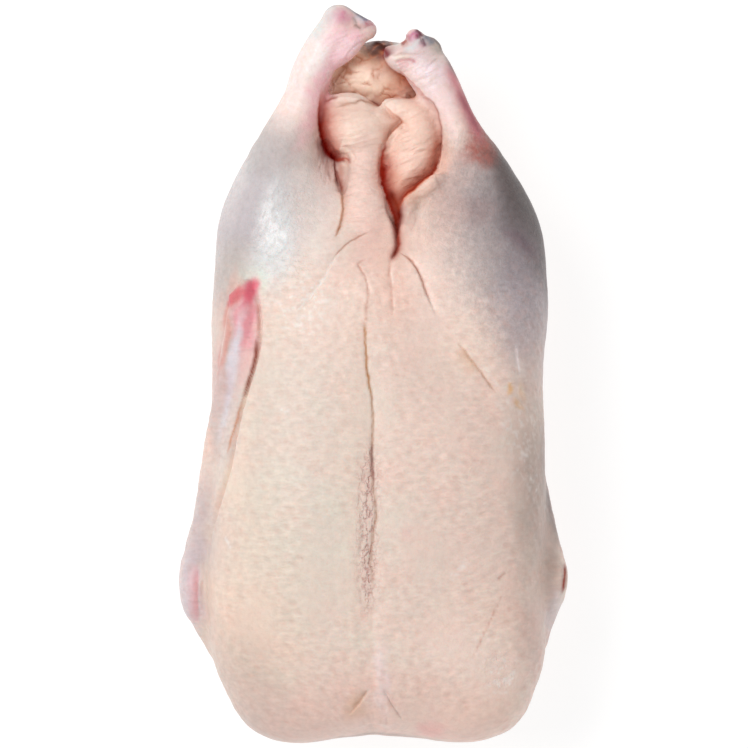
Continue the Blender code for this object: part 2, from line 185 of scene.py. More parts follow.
# rounded masses: centre, half sizes, turn in degrees
masses = {
    "breastEndLeft": ((-36.3, -164.8, 54), (38, 26.5, 37), 4),
    "breastEndRight": ((41.5, -164.3, 54), (41, 26.5, 37), -5),
    "thighLeft": ((-49.2, 69, 54), (33, 46, 34), -4),
    "thighRight": ((59.5, 59.7, 53), (30.5, 48, 34), 3),
    "groinLeft": ((-26.5, 81.9, 58), (18, 22, 24), 0),
    "groinRight": ((35.3, 79.8, 60), (20, 23, 24), 0),
    "hockLeft": ((-13.6, 179, 62), (13.5, 7.5, 9), -12),
    "hockTopLeft": ((-17.8, 181.5, 63), (9, 8.2, 9.5), 0),
    "hockUnderLeft": ((-15.5, 168.1, 61.5), (17, 8, 9), 44),
    "hockTipLeft": ((-3.1, 176.9, 62), (5, 5.6, 6), 20),
    "hockRight": ((22.4, 166.1, 61), (12, 6.6, 9), 4),
    "hockInnerRight": ((13.1, 161.2, 60), (9.5, 5.6, 7.5), -40),
    "hockTipRight": ((9, 164.8, 61), (4.4, 4.6, 5.5), 0),
    "hockKnobRight": ((21.4, 173, 64.5), (5.2, 4.3, 5), -25),
    "hockBrowRight": ((29.4, 167.9, 63), (7, 5, 6.5), -42),
    "leftLobe": ((-7.5, 124.1, 55), (20.5, 16.5, 20.5), 0),
    "leftLobeTip": ((6.4, 130.3, 57), (11, 7.5, 13), -18),
    "tailPad": ((4.4, 153.5, 39), (31, 18.5, 18), 0),
    "tailTip": ((3.3, 163.3, 38), (17.5, 9.4, 14), 0),
    "wingTipLeft": ((-65.1, 44.8, 90.5), (3.2, 3.6, 3.4), 0),
    "wingTipInner": ((-71.3, 39.1, 88), (2.8, 3.4, 3.2), 0),
    "shoulderLeft": ((-91.9, -109.2, 46), (8.6, 20, 19), 4),
    "shoulderRight": ((91.9, -106.1, 44), (8.6, 20, 18), -3),
    "neckFlap": ((3.3, -162.7, 26), (44, 20, 15), 0),
}


def curvePoints(points, count):
    # points along one smooth curve through the given ones
    points = np.asarray(points, float)
    steps = np.linalg.norm(np.diff(points, axis=0), axis=1)
    along = np.concatenate([[0], np.cumsum(np.sqrt(steps))])
    slopes = np.gradient(points, along, axis=0)
    out = []
    for t in np.linspace(0, along[-1], count):
        i = min(max(int(np.searchsorted(along, t)) - 1, 0), len(along) - 2)
        h = along[i + 1] - along[i]
        u = (t - along[i]) / h
        out.append(
            (2 * u**3 - 3 * u**2 + 1) * points[i]
            + (u**3 - 2 * u**2 + u) * h * slopes[i]
            + (3 * u**2 - 2 * u**3) * points[i + 1]
            + (u**3 - u**2) * h * slopes[i + 1]
        )
    return np.array(out)


def closedTube(rings):
    # rings of points joined into one closed body
    count, around = len(rings), len(rings[0])
    verts = [tuple(p) for ring in rings for p in ring]
    faces = []
    for r in range(count - 1):
        for k in range(around):
            n = (k + 1) % around
            faces.append((r * around + k, r * around + n, (r + 1) * around + n, (r + 1) * around + k))
    faces.append(tuple(range(around - 1, -1, -1)))
    faces.append(tuple((count - 1) * around + k for k in range(around)))
    return verts, faces


def trunkShape():
    rows = curvePoints(trunkSections, ringCount)
    rings = []
    for y, left, right, top, wide, low in rows:
        ring = []
        for k in range(ringPoints):
            a = 2 * math.pi * k / ringPoints
            c, s = math.cos(a), math.sin(a)
            power = trunkShoulder if s > 0 else trunkBack
            half = right if c > 0 else left
            x = half * math.copysign(abs(c) ** (2 / power), c)
            rise = top - wide if s > 0 else wide - low
            z = wide + rise * math.copysign(abs(s) ** (2 / power), s)
            ring.append((x, y, z))
        rings.append(ring)
    return closedTube(rings)


def limbShape(spine, across, thick, roll=None):
    roll = roll or [0] * len(spine)
    given = [(*p, a, t, r) for p, a, t, r in zip(spine, across, thick, roll)]
    rows = curvePoints(given, limbRings * len(spine))
    # rounded ends: the first and last sections close like a half ellipse
    path = rows[:, :3]
    tangents = np.gradient(path, axis=0)
    tangents /= np.linalg.norm(tangents, axis=1)[:, None]
    angles = (0.35, 0.7, 1.1, 1.45)
    head = [(path[0] - tangents[0] * math.sin(a) * rows[0, 3], math.cos(a), 0) for a in angles[::-1]]
    tail = [(path[-1] + tangents[-1] * math.sin(a) * rows[-1, 3], math.cos(a), -1) for a in angles]
    stations = head + [(p, 1.0, i) for i, p in enumerate(path)] + tail
    rings = []
    for centre, size, i in stations:
        turn = math.radians(rows[i, 5])
        t = tangents[i]
        side = np.cross(t, (0, 0, 1))
        side /= np.linalg.norm(side)
        up = np.cross(side, t)
        wideWay = side * math.cos(turn) + up * math.sin(turn)
        thickWay = np.cross(wideWay, t)
        a, b = rows[i, 3] * size, rows[i, 4] * size
        ring = []
        for k in range(limbAround):
            w = 2 * math.pi * k / limbAround
            ring.append(centre + wideWay * a * math.cos(w) + thickWay * b * math.sin(w))
        rings.append(ring)
    return closedTube(rings)


def massShape(centre, half, turn):
    bm = bmesh.new()
    bmesh.ops.create_uvsphere(bm, u_segments=massAround, v_segments=massRings, radius=1)
    c, s = math.cos(math.radians(turn)), math.sin(math.radians(turn))
    verts = []
    for v in bm.verts:
        x, y, z = v.co.x * half[0], v.co.y * half[1], v.co.z * half[2]
        verts.append((centre[0] + c * x - s * y, centre[1] + s * x + c * y, centre[2] + z))
    faces = [tuple(v.index for v in f.verts) for f in bm.faces]
    bm.free()
    return verts, faces


def addObject(name, shapes):
    mesh = bpy.data.meshes.new(name)
    verts, faces = [], []
    for v, f in shapes:
        base = len(verts)
        verts += [tuple(float(x) * mm for x in p) for p in v]
        faces += [tuple(i + base for i in face) for face in f]
    mesh.from_pydata(verts, [], faces)
    bm = bmesh.new()
    bm.from_mesh(mesh)
    bmesh.ops.recalc_face_normals(bm, faces=bm.faces)
    bm.to_mesh(mesh)
    bm.free()
    obj = bpy.data.objects.new(name, mesh)
    bpy.context.scene.collection.objects.link(obj)
    return obj


def applyModifiers(obj):
    graph = bpy.context.evaluated_depsgraph_get()
    mesh = bpy.data.meshes.new_from_object(obj.evaluated_get(graph))
    old = obj.data
    obj.modifiers.clear()
    obj.data = mesh
    bpy.data.meshes.remove(old)


def fuse(obj, voxel):
    mod = obj.modifiers.new("skin", "REMESH")
    mod.mode = "VOXEL"
    mod.voxel_size = voxel * mm
    applyModifiers(obj)


def relax(obj, turns, share):
    # each turn moves a point part of the way to the middle of its neighbours
    points, faces = meshShape(obj)
    edges = np.empty(len(obj.data.edges) * 2, int)
    obj.data.edges.foreach_get("vertices", edges)
    a, b = edges.reshape(-1, 2).T
    ends = np.concatenate([a, b])
    others = np.concatenate([b, a])
    count = np.bincount(ends, minlength=len(points))[:, None]
    amount = share(points)[:, None]
    for turn in range(turns):
        total = np.stack([np.bincount(ends, points[others, i], len(points)) for i in range(3)], axis=1)
        points = points + amount * (total / count - points)
    setPoints(obj, points)


def meshShape(obj):
    mesh = obj.data
    verts = np.empty(len(mesh.vertices) * 3)
    mesh.vertices.foreach_get("co", verts)
    return verts.reshape(-1, 3) / mm, [tuple(p.vertices) for p in mesh.polygons]


def vertexNormals(obj):
    normals = np.empty(len(obj.data.vertices) * 3)
    obj.data.vertices.foreach_get("normal", normals)
    return normals.reshape(-1, 3)


def setPoints(obj, points):
    obj.data.vertices.foreach_set("co", (points * mm).ravel())
    obj.data.update()


# how much wider a fold is on the flank that runs out
softFlank = 2.6


def strokeWeight(points, plan, half, side, steep=0.4):
    # 1 on a drawn line, thinning out at its ends; with a side, one flank is steep and the other runs out
    line = curvePoints(plan, strokeSteps * len(plan))
    weight = np.zeros(len(points))
    low, high = line.min(axis=0) - 6 * half, line.max(axis=0) + 6 * half
    index = np.where(np.all((points[:, :2] > low) & (points[:, :2] < high), axis=1))[0]
    p = points[index, :2]
    a, b = line[:-1], line[1:]
    ab = b - a
    rel = p[:, None, :] - a[None]
    u = np.clip((rel * ab).sum(-1) / (ab * ab).sum(-1), 0, 1)
    gap = np.linalg.norm(rel - u[..., None] * ab, axis=-1)
    best = gap.argmin(axis=1)
    row = np.arange(len(index))
    place = (best + u[row, best]) / len(a)
    hand = ab[best, 0] * rel[row, best, 1] - ab[best, 1] * rel[row, best, 0]
    flank = np.where(hand * side > 0, softFlank, steep) if side else 1
    fade = np.sin(np.clip(np.minimum(place, 1 - place) * 4, 0, 1) * math.pi / 2)
    width = half * flank * (0.45 + 0.55 * fade)
    weight[index] = np.exp(-((gap.min(axis=1) / width) ** 1.6)) * fade
    return weight


def carve(points, normals, strokes):
    moved = points.copy()
    facing = np.clip(normals[:, 2] * 2 + 0.3, 0, 1)
    for name, plan, depth, half, side in strokes:
        moved -= normals * (depth * strokeWeight(points, plan, half, side) * facing)[:, None]
    return moved


def noiseField(points, size, seed=0):
    shift = Vector((seed * 17.3, seed * 5.1, seed * 9.7))
    return np.array([noise.noise(Vector(p) / size + shift) for p in points])


def noisePair(points, size, seed):
    # two such fields side by side, to push places about in plan
    return np.stack([noiseField(points, size, seed), noiseField(points, size, seed + 1)], axis=1)


def smoothStep(low, high, value):
    t = np.clip((value - low) / (high - low), 0, 1)
    return t * t * (3 - 2 * t)


# folds that the frame's solid has too: plan points (x, y), depth in (minus swells out), half width,
# and which flank runs out (1 or -1, with 0 for neither)
creases = [
    ("keelValley", [(-2.8, 28.8), (-0.8, -13.4), (-0.3, -54.6), (0.3, -95.8), (-0.3, -137), (-0.8, -191.1)],
        2.3, 9, 0),
    ("keelLine", [(-3.9, 31.9), (-4.4, 22.7), (-2.8, 0), (-0.8, -12.4), (-0.3, -26.3), (-0.8, -39.1),
        (-0.3, -56.6), (1.3, -70.6), (-0.3, -80.3), (-1.3, -94.2), (-0.3, -106.1), (-2.8, -119.5)], 0.6,
        0.7, 0),
    ("crossBelly", [(-1.3, 73.1), (-8, 69.8), (-14.7, 65.4), (-19.8, 59.7), (-25, 48.9), (-32.2, 38.1),
        (-40.9, 29.9)], 1.2, 0.9, -1),
    ("underStrap", [(-2.8, 58.7), (-7.7, 56.1), (-6.4, 53), (-3.9, 48.4), (-2.6, 41.7), (-3.6, 35)], 0.6,
        0.7, 0),
    ("tongueRight", [(12.6, 62.3), (18, 58.5), (21.8, 53.6), (24.3, 48.4), (26.2, 42.7), (29.4, 35),
        (32.2, 28.8)], 1.4, 0.9, 1),
    ("tongueLeft", [(8.5, 58.2), (8.2, 51), (9, 43.3), (9.8, 27.8)], 0.6, 0.9, 0),
    ("groinLeft", [(-20.3, 111.8), (-19.6, 105.1), (-18.5, 98.9), (-16.2, 92.2), (-15.7, 87), (-15.7, 82.9),
        (-16.5, 78.3), (-18.3, 72.6), (-19.8, 68.5)], 1.7, 0.8, 1),
    ("pocketLeft", [(-18.3, 102), (-16.7, 96.8), (-16, 92.7)], 2.4, 1.9, 0),
    ("crotchLeft", [(-27, 142.1), (-27.8, 129.8), (-26, 119.5), (-22.4, 112.8), (-18.8, 110.2),
        (-15.2, 110.7), (-12.1, 108.7)], 3, 1.2, 1),
    ("betweenUpper", [(3.9, 139.1), (9, 133.9), (14.2, 129.3), (10.6, 125.1), (5.9, 117.4)], 1.8, 1.2, -1),
    ("betweenLower", [(6.4, 120), (4.6, 115.4), (4.1, 109.2), (3.9, 100.9)], 1.6, 1.1, 0),
    ("ventOpening", [(4.4, 111.2), (3.9, 104), (4.1, 98.4), (5.7, 93.7), (7.2, 88.1), (8.8, 81.9),
        (10.6, 76.2), (11.8, 70)], 4.5, 1.3, 1),
    ("ventSlit", [(5.9, 92.7), (8.2, 83.4), (10.6, 76.2), (11.8, 70), (12.1, 64.9), (10.8, 61.3),
        (8.2, 57.2)], 3, 1.2, 0),
    ("flapUnder", [(34.8, 120.5), (34.2, 114.3), (33, 108.2), (31.2, 103.5), (28.1, 100.7), (23.9, 97.1),
        (19.3, 93), (15.2, 89.1), (12.9, 83.9), (12.1, 78.3)], 3, 1.2, -1),
    ("lobeOuter", [(26, 142.1), (32.7, 134.4), (35, 122.6), (32.7, 108.2)], 1.2, 1.1, -1),
    ("padUnder", [(-26.5, 138), (-22.4, 141.1), (-14.7, 143.2), (-7, 142.1), (2.3, 137.5), (8.5, 141.1),
        (17.8, 142.1), (26, 141.1)], 1.4, 1.1, 1),
    ("bandLine", [(-20.3, 136), (-16.2, 137.8), (-9.5, 139.1), (-6.4, 140.3), (-2.8, 139.8), (2.3, 137)],
        0.8, 0.8, 0),
    ("wingEdge", [(-60.5, 43.3), (-58.7, 35.5), (-57.9, 23.7), (-59, 12.4), (-61.8, 1), (-65.1, -9.3),
        (-68.2, -19.6), (-70.8, -30.9), (-73.9, -46.9), (-78.5, -62.8), (-82.7, -77.8), (-85.2, -93.7)],
        3.6, 1, 0),
    ("breastRight", [(42, 17), (48.7, 8.2), (55.4, -0.5), (63.1, -11.3)], 0.5, 0.7, 0),
    ("neckFoldLeft", [(-2.3, -160.7), (-7, -167.9), (-13.6, -175.1)], 1.6, 1.5, 0),
    ("neckFoldRight", [(5.4, -160.7), (9, -167.9), (15.2, -177.2)], 1.6, 1.5, 0),
    ("keelRidge", [(4.9, -88.1), (4.9, -116.4), (4.4, -142.1), (3.3, -170.5)], -1, 4, 0),
    ("notch", [(0.8, -192.6), (0.3, -185.9), (-0.3, -179.2)], 3, 6, 0),
]

foldPath = {name: plan for name, plan, depth, half, side in creases}

# finer folds, which the solid doesn't have; the last two soften its neck folds
fineCreases = [
    ("keelDeep", [(-0.8, -36.1), (-1, -40.2), (-0.3, -45.3), (-0.5, -49.4)], 0.5, 0.8, 0),
    ("keelSide", [(-5.4, -49.4), (-6.4, -64.9), (-4.9, -80.3), (-7.5, -93.7), (-6.4, -111.2),
        (-4.9, -121.5)], 0.5, 0.9, 0),
    ("breastNick", [(62.1, -104.5), (64.6, -102.5), (67.2, -100.4)], 0.3, 0.6, 0),
    ("hockNotchLeft", [(-10, 183.9), (-8.5, 180.8), (-7.5, 178.2), (-4.4, 177.2)], 0.7, 1.2, 0),
    ("hockLipLeft", [(1.3, 179.7), (-1.8, 178.7), (-4.9, 176.6), (-7, 175.6)], 0.7, 1, 0),
    ("hockFoldLeft", [(-14.2, 161.7), (-10, 166.9), (-3.9, 171)], 0.4, 0.8, 0),
    ("strapFoldA", [(-14.2, 91.2), (-8, 93.2), (1.3, 91.7)], 0.4, 0.8, 0),
    ("lobeCurl", [(-15.7, 116.4), (-12.1, 114.3), (-9, 109.2)], 0.8, 1.2, 0),
    ("hockCleftLeft", [(16.7, 173.6), (15.2, 171), (15.7, 168.4)], 1.2, 1.1, 0),
    ("hockCleftRight", [(23.9, 174.6), (25, 171.5), (26.5, 167.9)], 1.3, 0.9, 0),
    ("hockPit", [(5.4, 166.9), (7, 165.3), (9, 164.3)], 0.6, 1.6, 0),
    ("hockFoldUpper", [(8, 162.7), (12.1, 163.8), (15.7, 164.5), (21.4, 164), (26.5, 165.8)], 0.4, 1.1, 0),
    ("hockFoldLower", [(10.6, 159.1), (14.7, 161.2), (19.8, 160.7), (21.9, 159.1)], 0.8, 0.8, 0),
    ("hockFoldThird", [(11.6, 157.1), (15.2, 159.1), (19.3, 159.7), (22.9, 161.7)], 0.4, 0.8, 0),
    ("hockFoldOuter", [(26, 155), (29.1, 157.6), (31.2, 160.2), (34.2, 161.2)], 0.4, 0.8, 0),
    ("columnEdge", [(-23.2, 111.2), (-22.9, 107.1), (-22.1, 100.9)], 0.7, 0.7, 0),
    ("wingNickRight", [(99.1, -97.9), (98.9, -104), (97.9, -112.3)], 0.6, 1.3, 0),
    ("wingTuckLeft", [(-88.8, -88.1), (-89.4, -100.9), (-89.6, -116.4), (-88.3, -131.8)], 0.7, 1.2, -1),
    ("neckSoftLeft", foldPath["neckFoldLeft"], -1.35, 1.6, 0),
    ("neckSoftRight", foldPath["neckFoldRight"], -1.4, 1.6, 0),
]

foldPath.update({name: plan for name, plan, depth, half, side in fineCreases})

# where skin runs smoothly from the trunk to a wing: centre, half sizes, rounds of smoothing
duckSmooth = [
    ((92.4, -88.1), (9, 48), 60),
    ((-83.2, -143.2), (7, 9), 30),
]

# the same after the folds are carved, where two of them run together
foldSmooth = [
    ((31.2, 108.2), (2.2, 2.8), 8),
    ((-26.3, 120.8), (1.4, 1.6), 8),
]

# the fat pad between the shanks: its middle in plan, its half sizes, those of the field its lumps are
# set out in, and the levels where it gives way to the hocks
padCentre = (4.9, 155.5)
padHalf = (31, 18)
lumpField = (34, 21)
padLevels = (61, 57)

# where wrinkles run: centre, half sizes, turn of the wrinkles in degrees, width, height
wrinklePatches = [
    ("lobeLeft", (-7, 123.6), (20, 15), 12, 1.6, 0.5),
    ("strap", (-3.9, 87), (10, 32), 6, 1.5, 0.45),
    ("lobeRight", (19.3, 110.2), (14, 26), 24, 1.9, 0.85),
    ("groinLeft", (-24.5, 111.2), (5, 14), 78, 1.5, 0.7),
    ("thighRight", (48.7, 112.8), (16, 16), 78, 1.5, 0.5),
    ("shankRight", (26, 156.6), (13, 12), 30, 1.5, 0.5),
    ("shankLeft", (-18.3, 160.7), (10, 18), 24, 1.5, 0.35),
    ("breastRight", (65.1, -95.8), (26, 60), 24, 2.4, 0.4),
    ("breastRightUpper", (34.2, -28.8), (22, 50), 16, 2.4, 0.25),
    ("belly", (-22.4, 43.3), (26, 14), 38, 2, 0.35),
    ("thighLeftWet", (-51.2, 75.2), (12, 22), 66, 1.3, 0.4),
    ("thighLeftLow", (-46.6, 54.6), (20, 16), -14, 1.6, 0.36),
    ("flapRight", (26.5, 81.9), (10, 16), 68, 1.6, 0.4),
]


def planMask(points, centre, half, turn=0, soft=0.45):
    # 1 inside a turned oval in plan, falling to 0 over its soft edge
    c, s = math.cos(math.radians(turn)), math.sin(math.radians(turn))
    dx, dy = points[:, 0] - centre[0], points[:, 1] - centre[1]
    far = np.hypot((c * dx + s * dy) / half[0], (c * dy - s * dx) / half[1])
    return 1 - smoothStep(1 - soft, 1 + soft, far)


def poreLattice(points):
    # feather pores stand in a slanted lattice round the body: places in its steps, and in millimetres
    look = duckShape
    around = np.arctan2(points[:, 0], points[:, 2] - look["wrapLevel"]) * look["wrapRadius"]
    u = around + 1.5 * noiseField(points, 38, 3)
    v = points[:, 1] + 1.5 * noiseField(points, 33, 4)
    (a1, a2), (b1, b2) = look["poreSteps"]
    det = a1 * b2 - b1 * a2
    flat = np.zeros(len(points))
    lattice = np.stack([(b2 * u - b1 * v) / det, (a1 * v - a2 * u) / det, flat], axis=1)
    return lattice, np.stack([u, v, flat], axis=1)


def poreCover(points):
    # pores show on the breast, and fade out along the middle of the back, where the lattice meets itself
    patchy = smoothStep(-0.1, 0.35, noiseField(points, 26, 5) + 0.35)
    fromSeam = np.hypot(points[:, 0], np.maximum(points[:, 2] - duckShape["wrapLevel"], 0))
    return smoothStep(*duckShape["poreFade"], points[:, 1]) * patchy * smoothStep(8, 30, fromSeam)


def scatterLumps(centre, half, step):
    # a loose grid of centres, each pushed a little off its place
    rng = np.random.default_rng(5)
    rows = []
    for j, y in enumerate(np.arange(-half[1], half[1], step * 0.87)):
        for x in np.arange(-half[0] + (j % 2) * step / 2, half[0], step):
            rows.append((centre[0] + x, centre[1] + y))
    return np.array(rows) + rng.uniform(-0.38, 0.38, (len(rows), 2)) * step


def wrinkles(points, facing):
    # each point's place in its patch's strands, and how strongly it is wrinkled
    stretch = duckShape["strandStretch"]
    place, strength = np.zeros((len(points), 3)), np.zeros(len(points))
    for name, centre, half, turn, step, tall in wrinklePatches:
        mask = planMask(points, centre, half, 0, 0.5) * facing * tall
        where = np.where(mask > strength)[0]
        a = math.radians(turn)
        x, y = points[where, 0], points[where, 1] + 1.2 * noiseField(points[where], 9, 8)
        along, across = x * math.cos(a) + y * math.sin(a), y * math.cos(a) - x * math.sin(a)
        place[where] = np.stack([along / stretch, across, points[where, 2] / stretch], axis=1) / step
        strength[where] = mask[where]
    return place, strength


def fatLobules(points):
    # the pad between the shanks: round lumps of fat, with some of the gaps between them sunk, which the
    # colour paints with shade
    rise, veins = np.zeros(len(points)), np.zeros(len(points))
    look = duckShape
    pad = planMask(points, padCentre, padHalf, 0, 0.2) * smoothStep(*padLevels, points[:, 2])
    where = np.where(pad > 0.01)[0]
    here = points[where]
    lumps = scatterLumps(padCentre, lumpField, look["lobuleStep"])
    bent = here[:, :2] * (0.8, 1.15) + (0, -22)
    bent += 4 * noisePair(here, 5, 12)
    gaps = np.sort(np.linalg.norm(bent[:, None] - lumps[None], axis=-1), axis=1)
    seen = 0.1 + 0.9 * smoothStep(-0.2, 0.35, noiseField(here, 6, 14))
    edge = (gaps[:, 1] - gaps[:, 0]) / look["veinWidth"]
    veins[where] = pad[where] * seen * np.exp(-(edge**1.2))
    rise[where] = pad[where] * (look["lobuleHeight"] - look["lobuleRound"] * gaps[:, 0] ** 2)
    return rise, veins


def skinRelief(points, normals):
    # how far the skin rises, and the marks that the colour and the shader read
    look = duckShape
    lattice, wrapped = poreLattice(points)
    pores = poreCover(points)
    swell = -(np.cos(2 * math.pi * lattice[:, 0]) + np.cos(2 * math.pi * lattice[:, 1])) / 2
    height = look["poreHeight"] * swell * pores
    dimples = look["dimpleHeight"] - look["dimpleLost"] * pores
    waves = look["waveHeight"] * noiseField(points, look["waveSize"], 6)
    height += waves + dimples * noiseField(points, look["dimpleSize"], 7)
    strand, strandStrength = wrinkles(points, np.clip(normals[:, 2] * 1.5 + 0.4, 0, 1))
    height += strandStrength * np.array([noise.noise(Vector(p)) for p in strand])
    rise, veins = fatLobules(points)
    height += rise
    height -= look["veinDepth"] * veins
    marks = dict(
        poreLattice=lattice, skinPlace=wrapped, poreStrength=pores, strandPlace=strand,
        strandStrength=strandStrength,
    )
    return height, veins, marks


def refine(obj, chosen):
    # cuts the faces near the folds finer, so that thin creases have points to bend at
    bm = bmesh.new()
    bm.from_mesh(obj.data)
    bm.faces.ensure_lookup_table()
    edges = {e for f in bm.faces if chosen[f.index] for e in f.edges}
    bmesh.ops.subdivide_edges(bm, edges=list(edges), cuts=1, use_grid_fill=True)
    bmesh.ops.triangulate(bm, faces=[f for f in bm.faces if len(f.verts) > 4])
    bm.to_mesh(obj.data)
    bm.free()
    obj.data.update()


def nearFolds(points, reach, narrowest):
    near = np.zeros(len(points), bool)
    for name, plan, depth, half, side in creases + fineCreases:
        if half <= narrowest:
            near |= strokeWeight(points, plan, reach, 0) > 0.2
    return near & (points[:, 2] > duckShape["detailFloor"])


# whole places that need finer faces: oval centre, half sizes
detailPlaces = [
    ("ventAndPad", (4.9, 128.2), (33, 66)),
    ("keel", (-1.3, -85.5), (8, 52)),
]


def detailedPart(points):
    near = nearFolds(points, 3.4, 3)
    for name, centre, half in detailPlaces:
        near |= planMask(points, centre, half, 0, 0.1) > 0.5
    return near & (points[:, 2] > duckShape["detailFloor"])


def narrowFolds(points):
    # the sharpest folds, round the vent and the hocks, are cut finer once more
    return nearFolds(points, 2, 1.4) & (points[:, 1] > 50)


def fusedBody():
    # the trunk with its large masses is fused and calmed first, and then takes the limbs and the folds
    bigLimbs = ("thighRollLeft", "thighRollRight")
    bigMasses = (
        "breastEndLeft", "breastEndRight", "thighLeft", "thighRight", "groinLeft", "groinRight", "neckFlap",
    )
    shapes = [trunkShape()]
    shapes += [limbShape(**limbs[name]) for name in bigLimbs]
    shapes += [massShape(*masses[name]) for name in bigMasses]
    flesh = addObject("flesh", shapes)
    fuse(flesh, duckShape["coarseVoxel"])
    relax(flesh, duckShape["fleshRounds"], lambda p: np.clip((150 - p[:, 1]) / 60, 0.2, 1) * 0.5)
    shapes = [meshShape(flesh)]
    shapes += [limbShape(**form) for name, form in limbs.items() if name not in bigLimbs]
    shapes += [massShape(*form) for name, form in masses.items() if name not in bigMasses]
    body = addObject("duckFlesh", shapes)
    bpy.data.objects.remove(flesh, do_unlink=True)
    fuse(body, duckShape["fineVoxel"])
    relax(body, duckShape["skinRounds"], lambda p: np.full(len(p), 0.5))
    print("fused", len(body.data.vertices), "points")
    return body


def thinUnderside(body):
    # the hidden underside needs fewer faces
    points, faces = meshShape(body)
    under = (points[:, 2] < duckShape["undersideTop"]) & (vertexNormals(body)[:, 2] < 0.25)
    group = body.vertex_groups.new(name="under")
    group.add(np.where(under)[0].tolist(), 1.0, "REPLACE")
    thin = body.modifiers.new("thin", "DECIMATE")
    share = under.mean()
    thin.ratio = 1 - share * (1 - duckShape["undersideShare"])
    thin.vertex_group = "under"
    applyModifiers(body)
    print("thinned", len(body.data.vertices), "points")


def smoothPlaces(body, places):
    for centre, half, rounds in places:
        relax(body, rounds, lambda p: planMask(p, centre, half, 0, 0.4) * 0.5)


def buildDuck():
    body = fusedBody()
    thinUnderside(body)
    for place in (detailedPart, narrowFolds):
        points, faces = meshShape(body)
        near = place(points)
        refine(body, [all(near[i] for i in face) for face in faces])
        points, faces = meshShape(body)
        soft = place(points) * 0.5
        relax(body, 3, lambda p: soft)
    print("refined", len(body.data.vertices), "points")

    smoothPlaces(body, duckSmooth)
    points, faces = meshShape(body)
    for folds in (creases, fineCreases):
        points = carve(points, vertexNormals(body), folds)
        setPoints(body, points)
    smoothPlaces(body, foldSmooth)
    points, faces = meshShape(body)
    normals = vertexNormals(body)
    height, veins, marks = skinRelief(points, normals)
    return body, points + normals * height[:, None], normals, veins, marks


duck, points, calmNormals, veins, marks = buildDuck()

# the same flat spot and the same place as the frame's solid
floorLevel = points[:, 2].min() + duckShape["restCut"]
points[:, 2] = np.maximum(points[:, 2] - floorLevel, 0)
for axis in range(2):
    boxMiddle = (cadBox[0][axis] + cadBox[1][axis]) / 2 / mm
    points[:, axis] += boxMiddle - (points[:, axis].min() + points[:, axis].max()) / 2
setPoints(duck, points)
print("shaped", len(points), "points", len(duck.data.polygons), "faces")


def linearColour(code):
    # sRGB hex to linear light
    parts = [int(code[i : i + 2], 16) / 255 for i in (1, 3, 5)]
    return np.array([c / 12.92 if c <= 0.04045 else ((c + 0.055) / 1.055) ** 2.4 for c in parts])


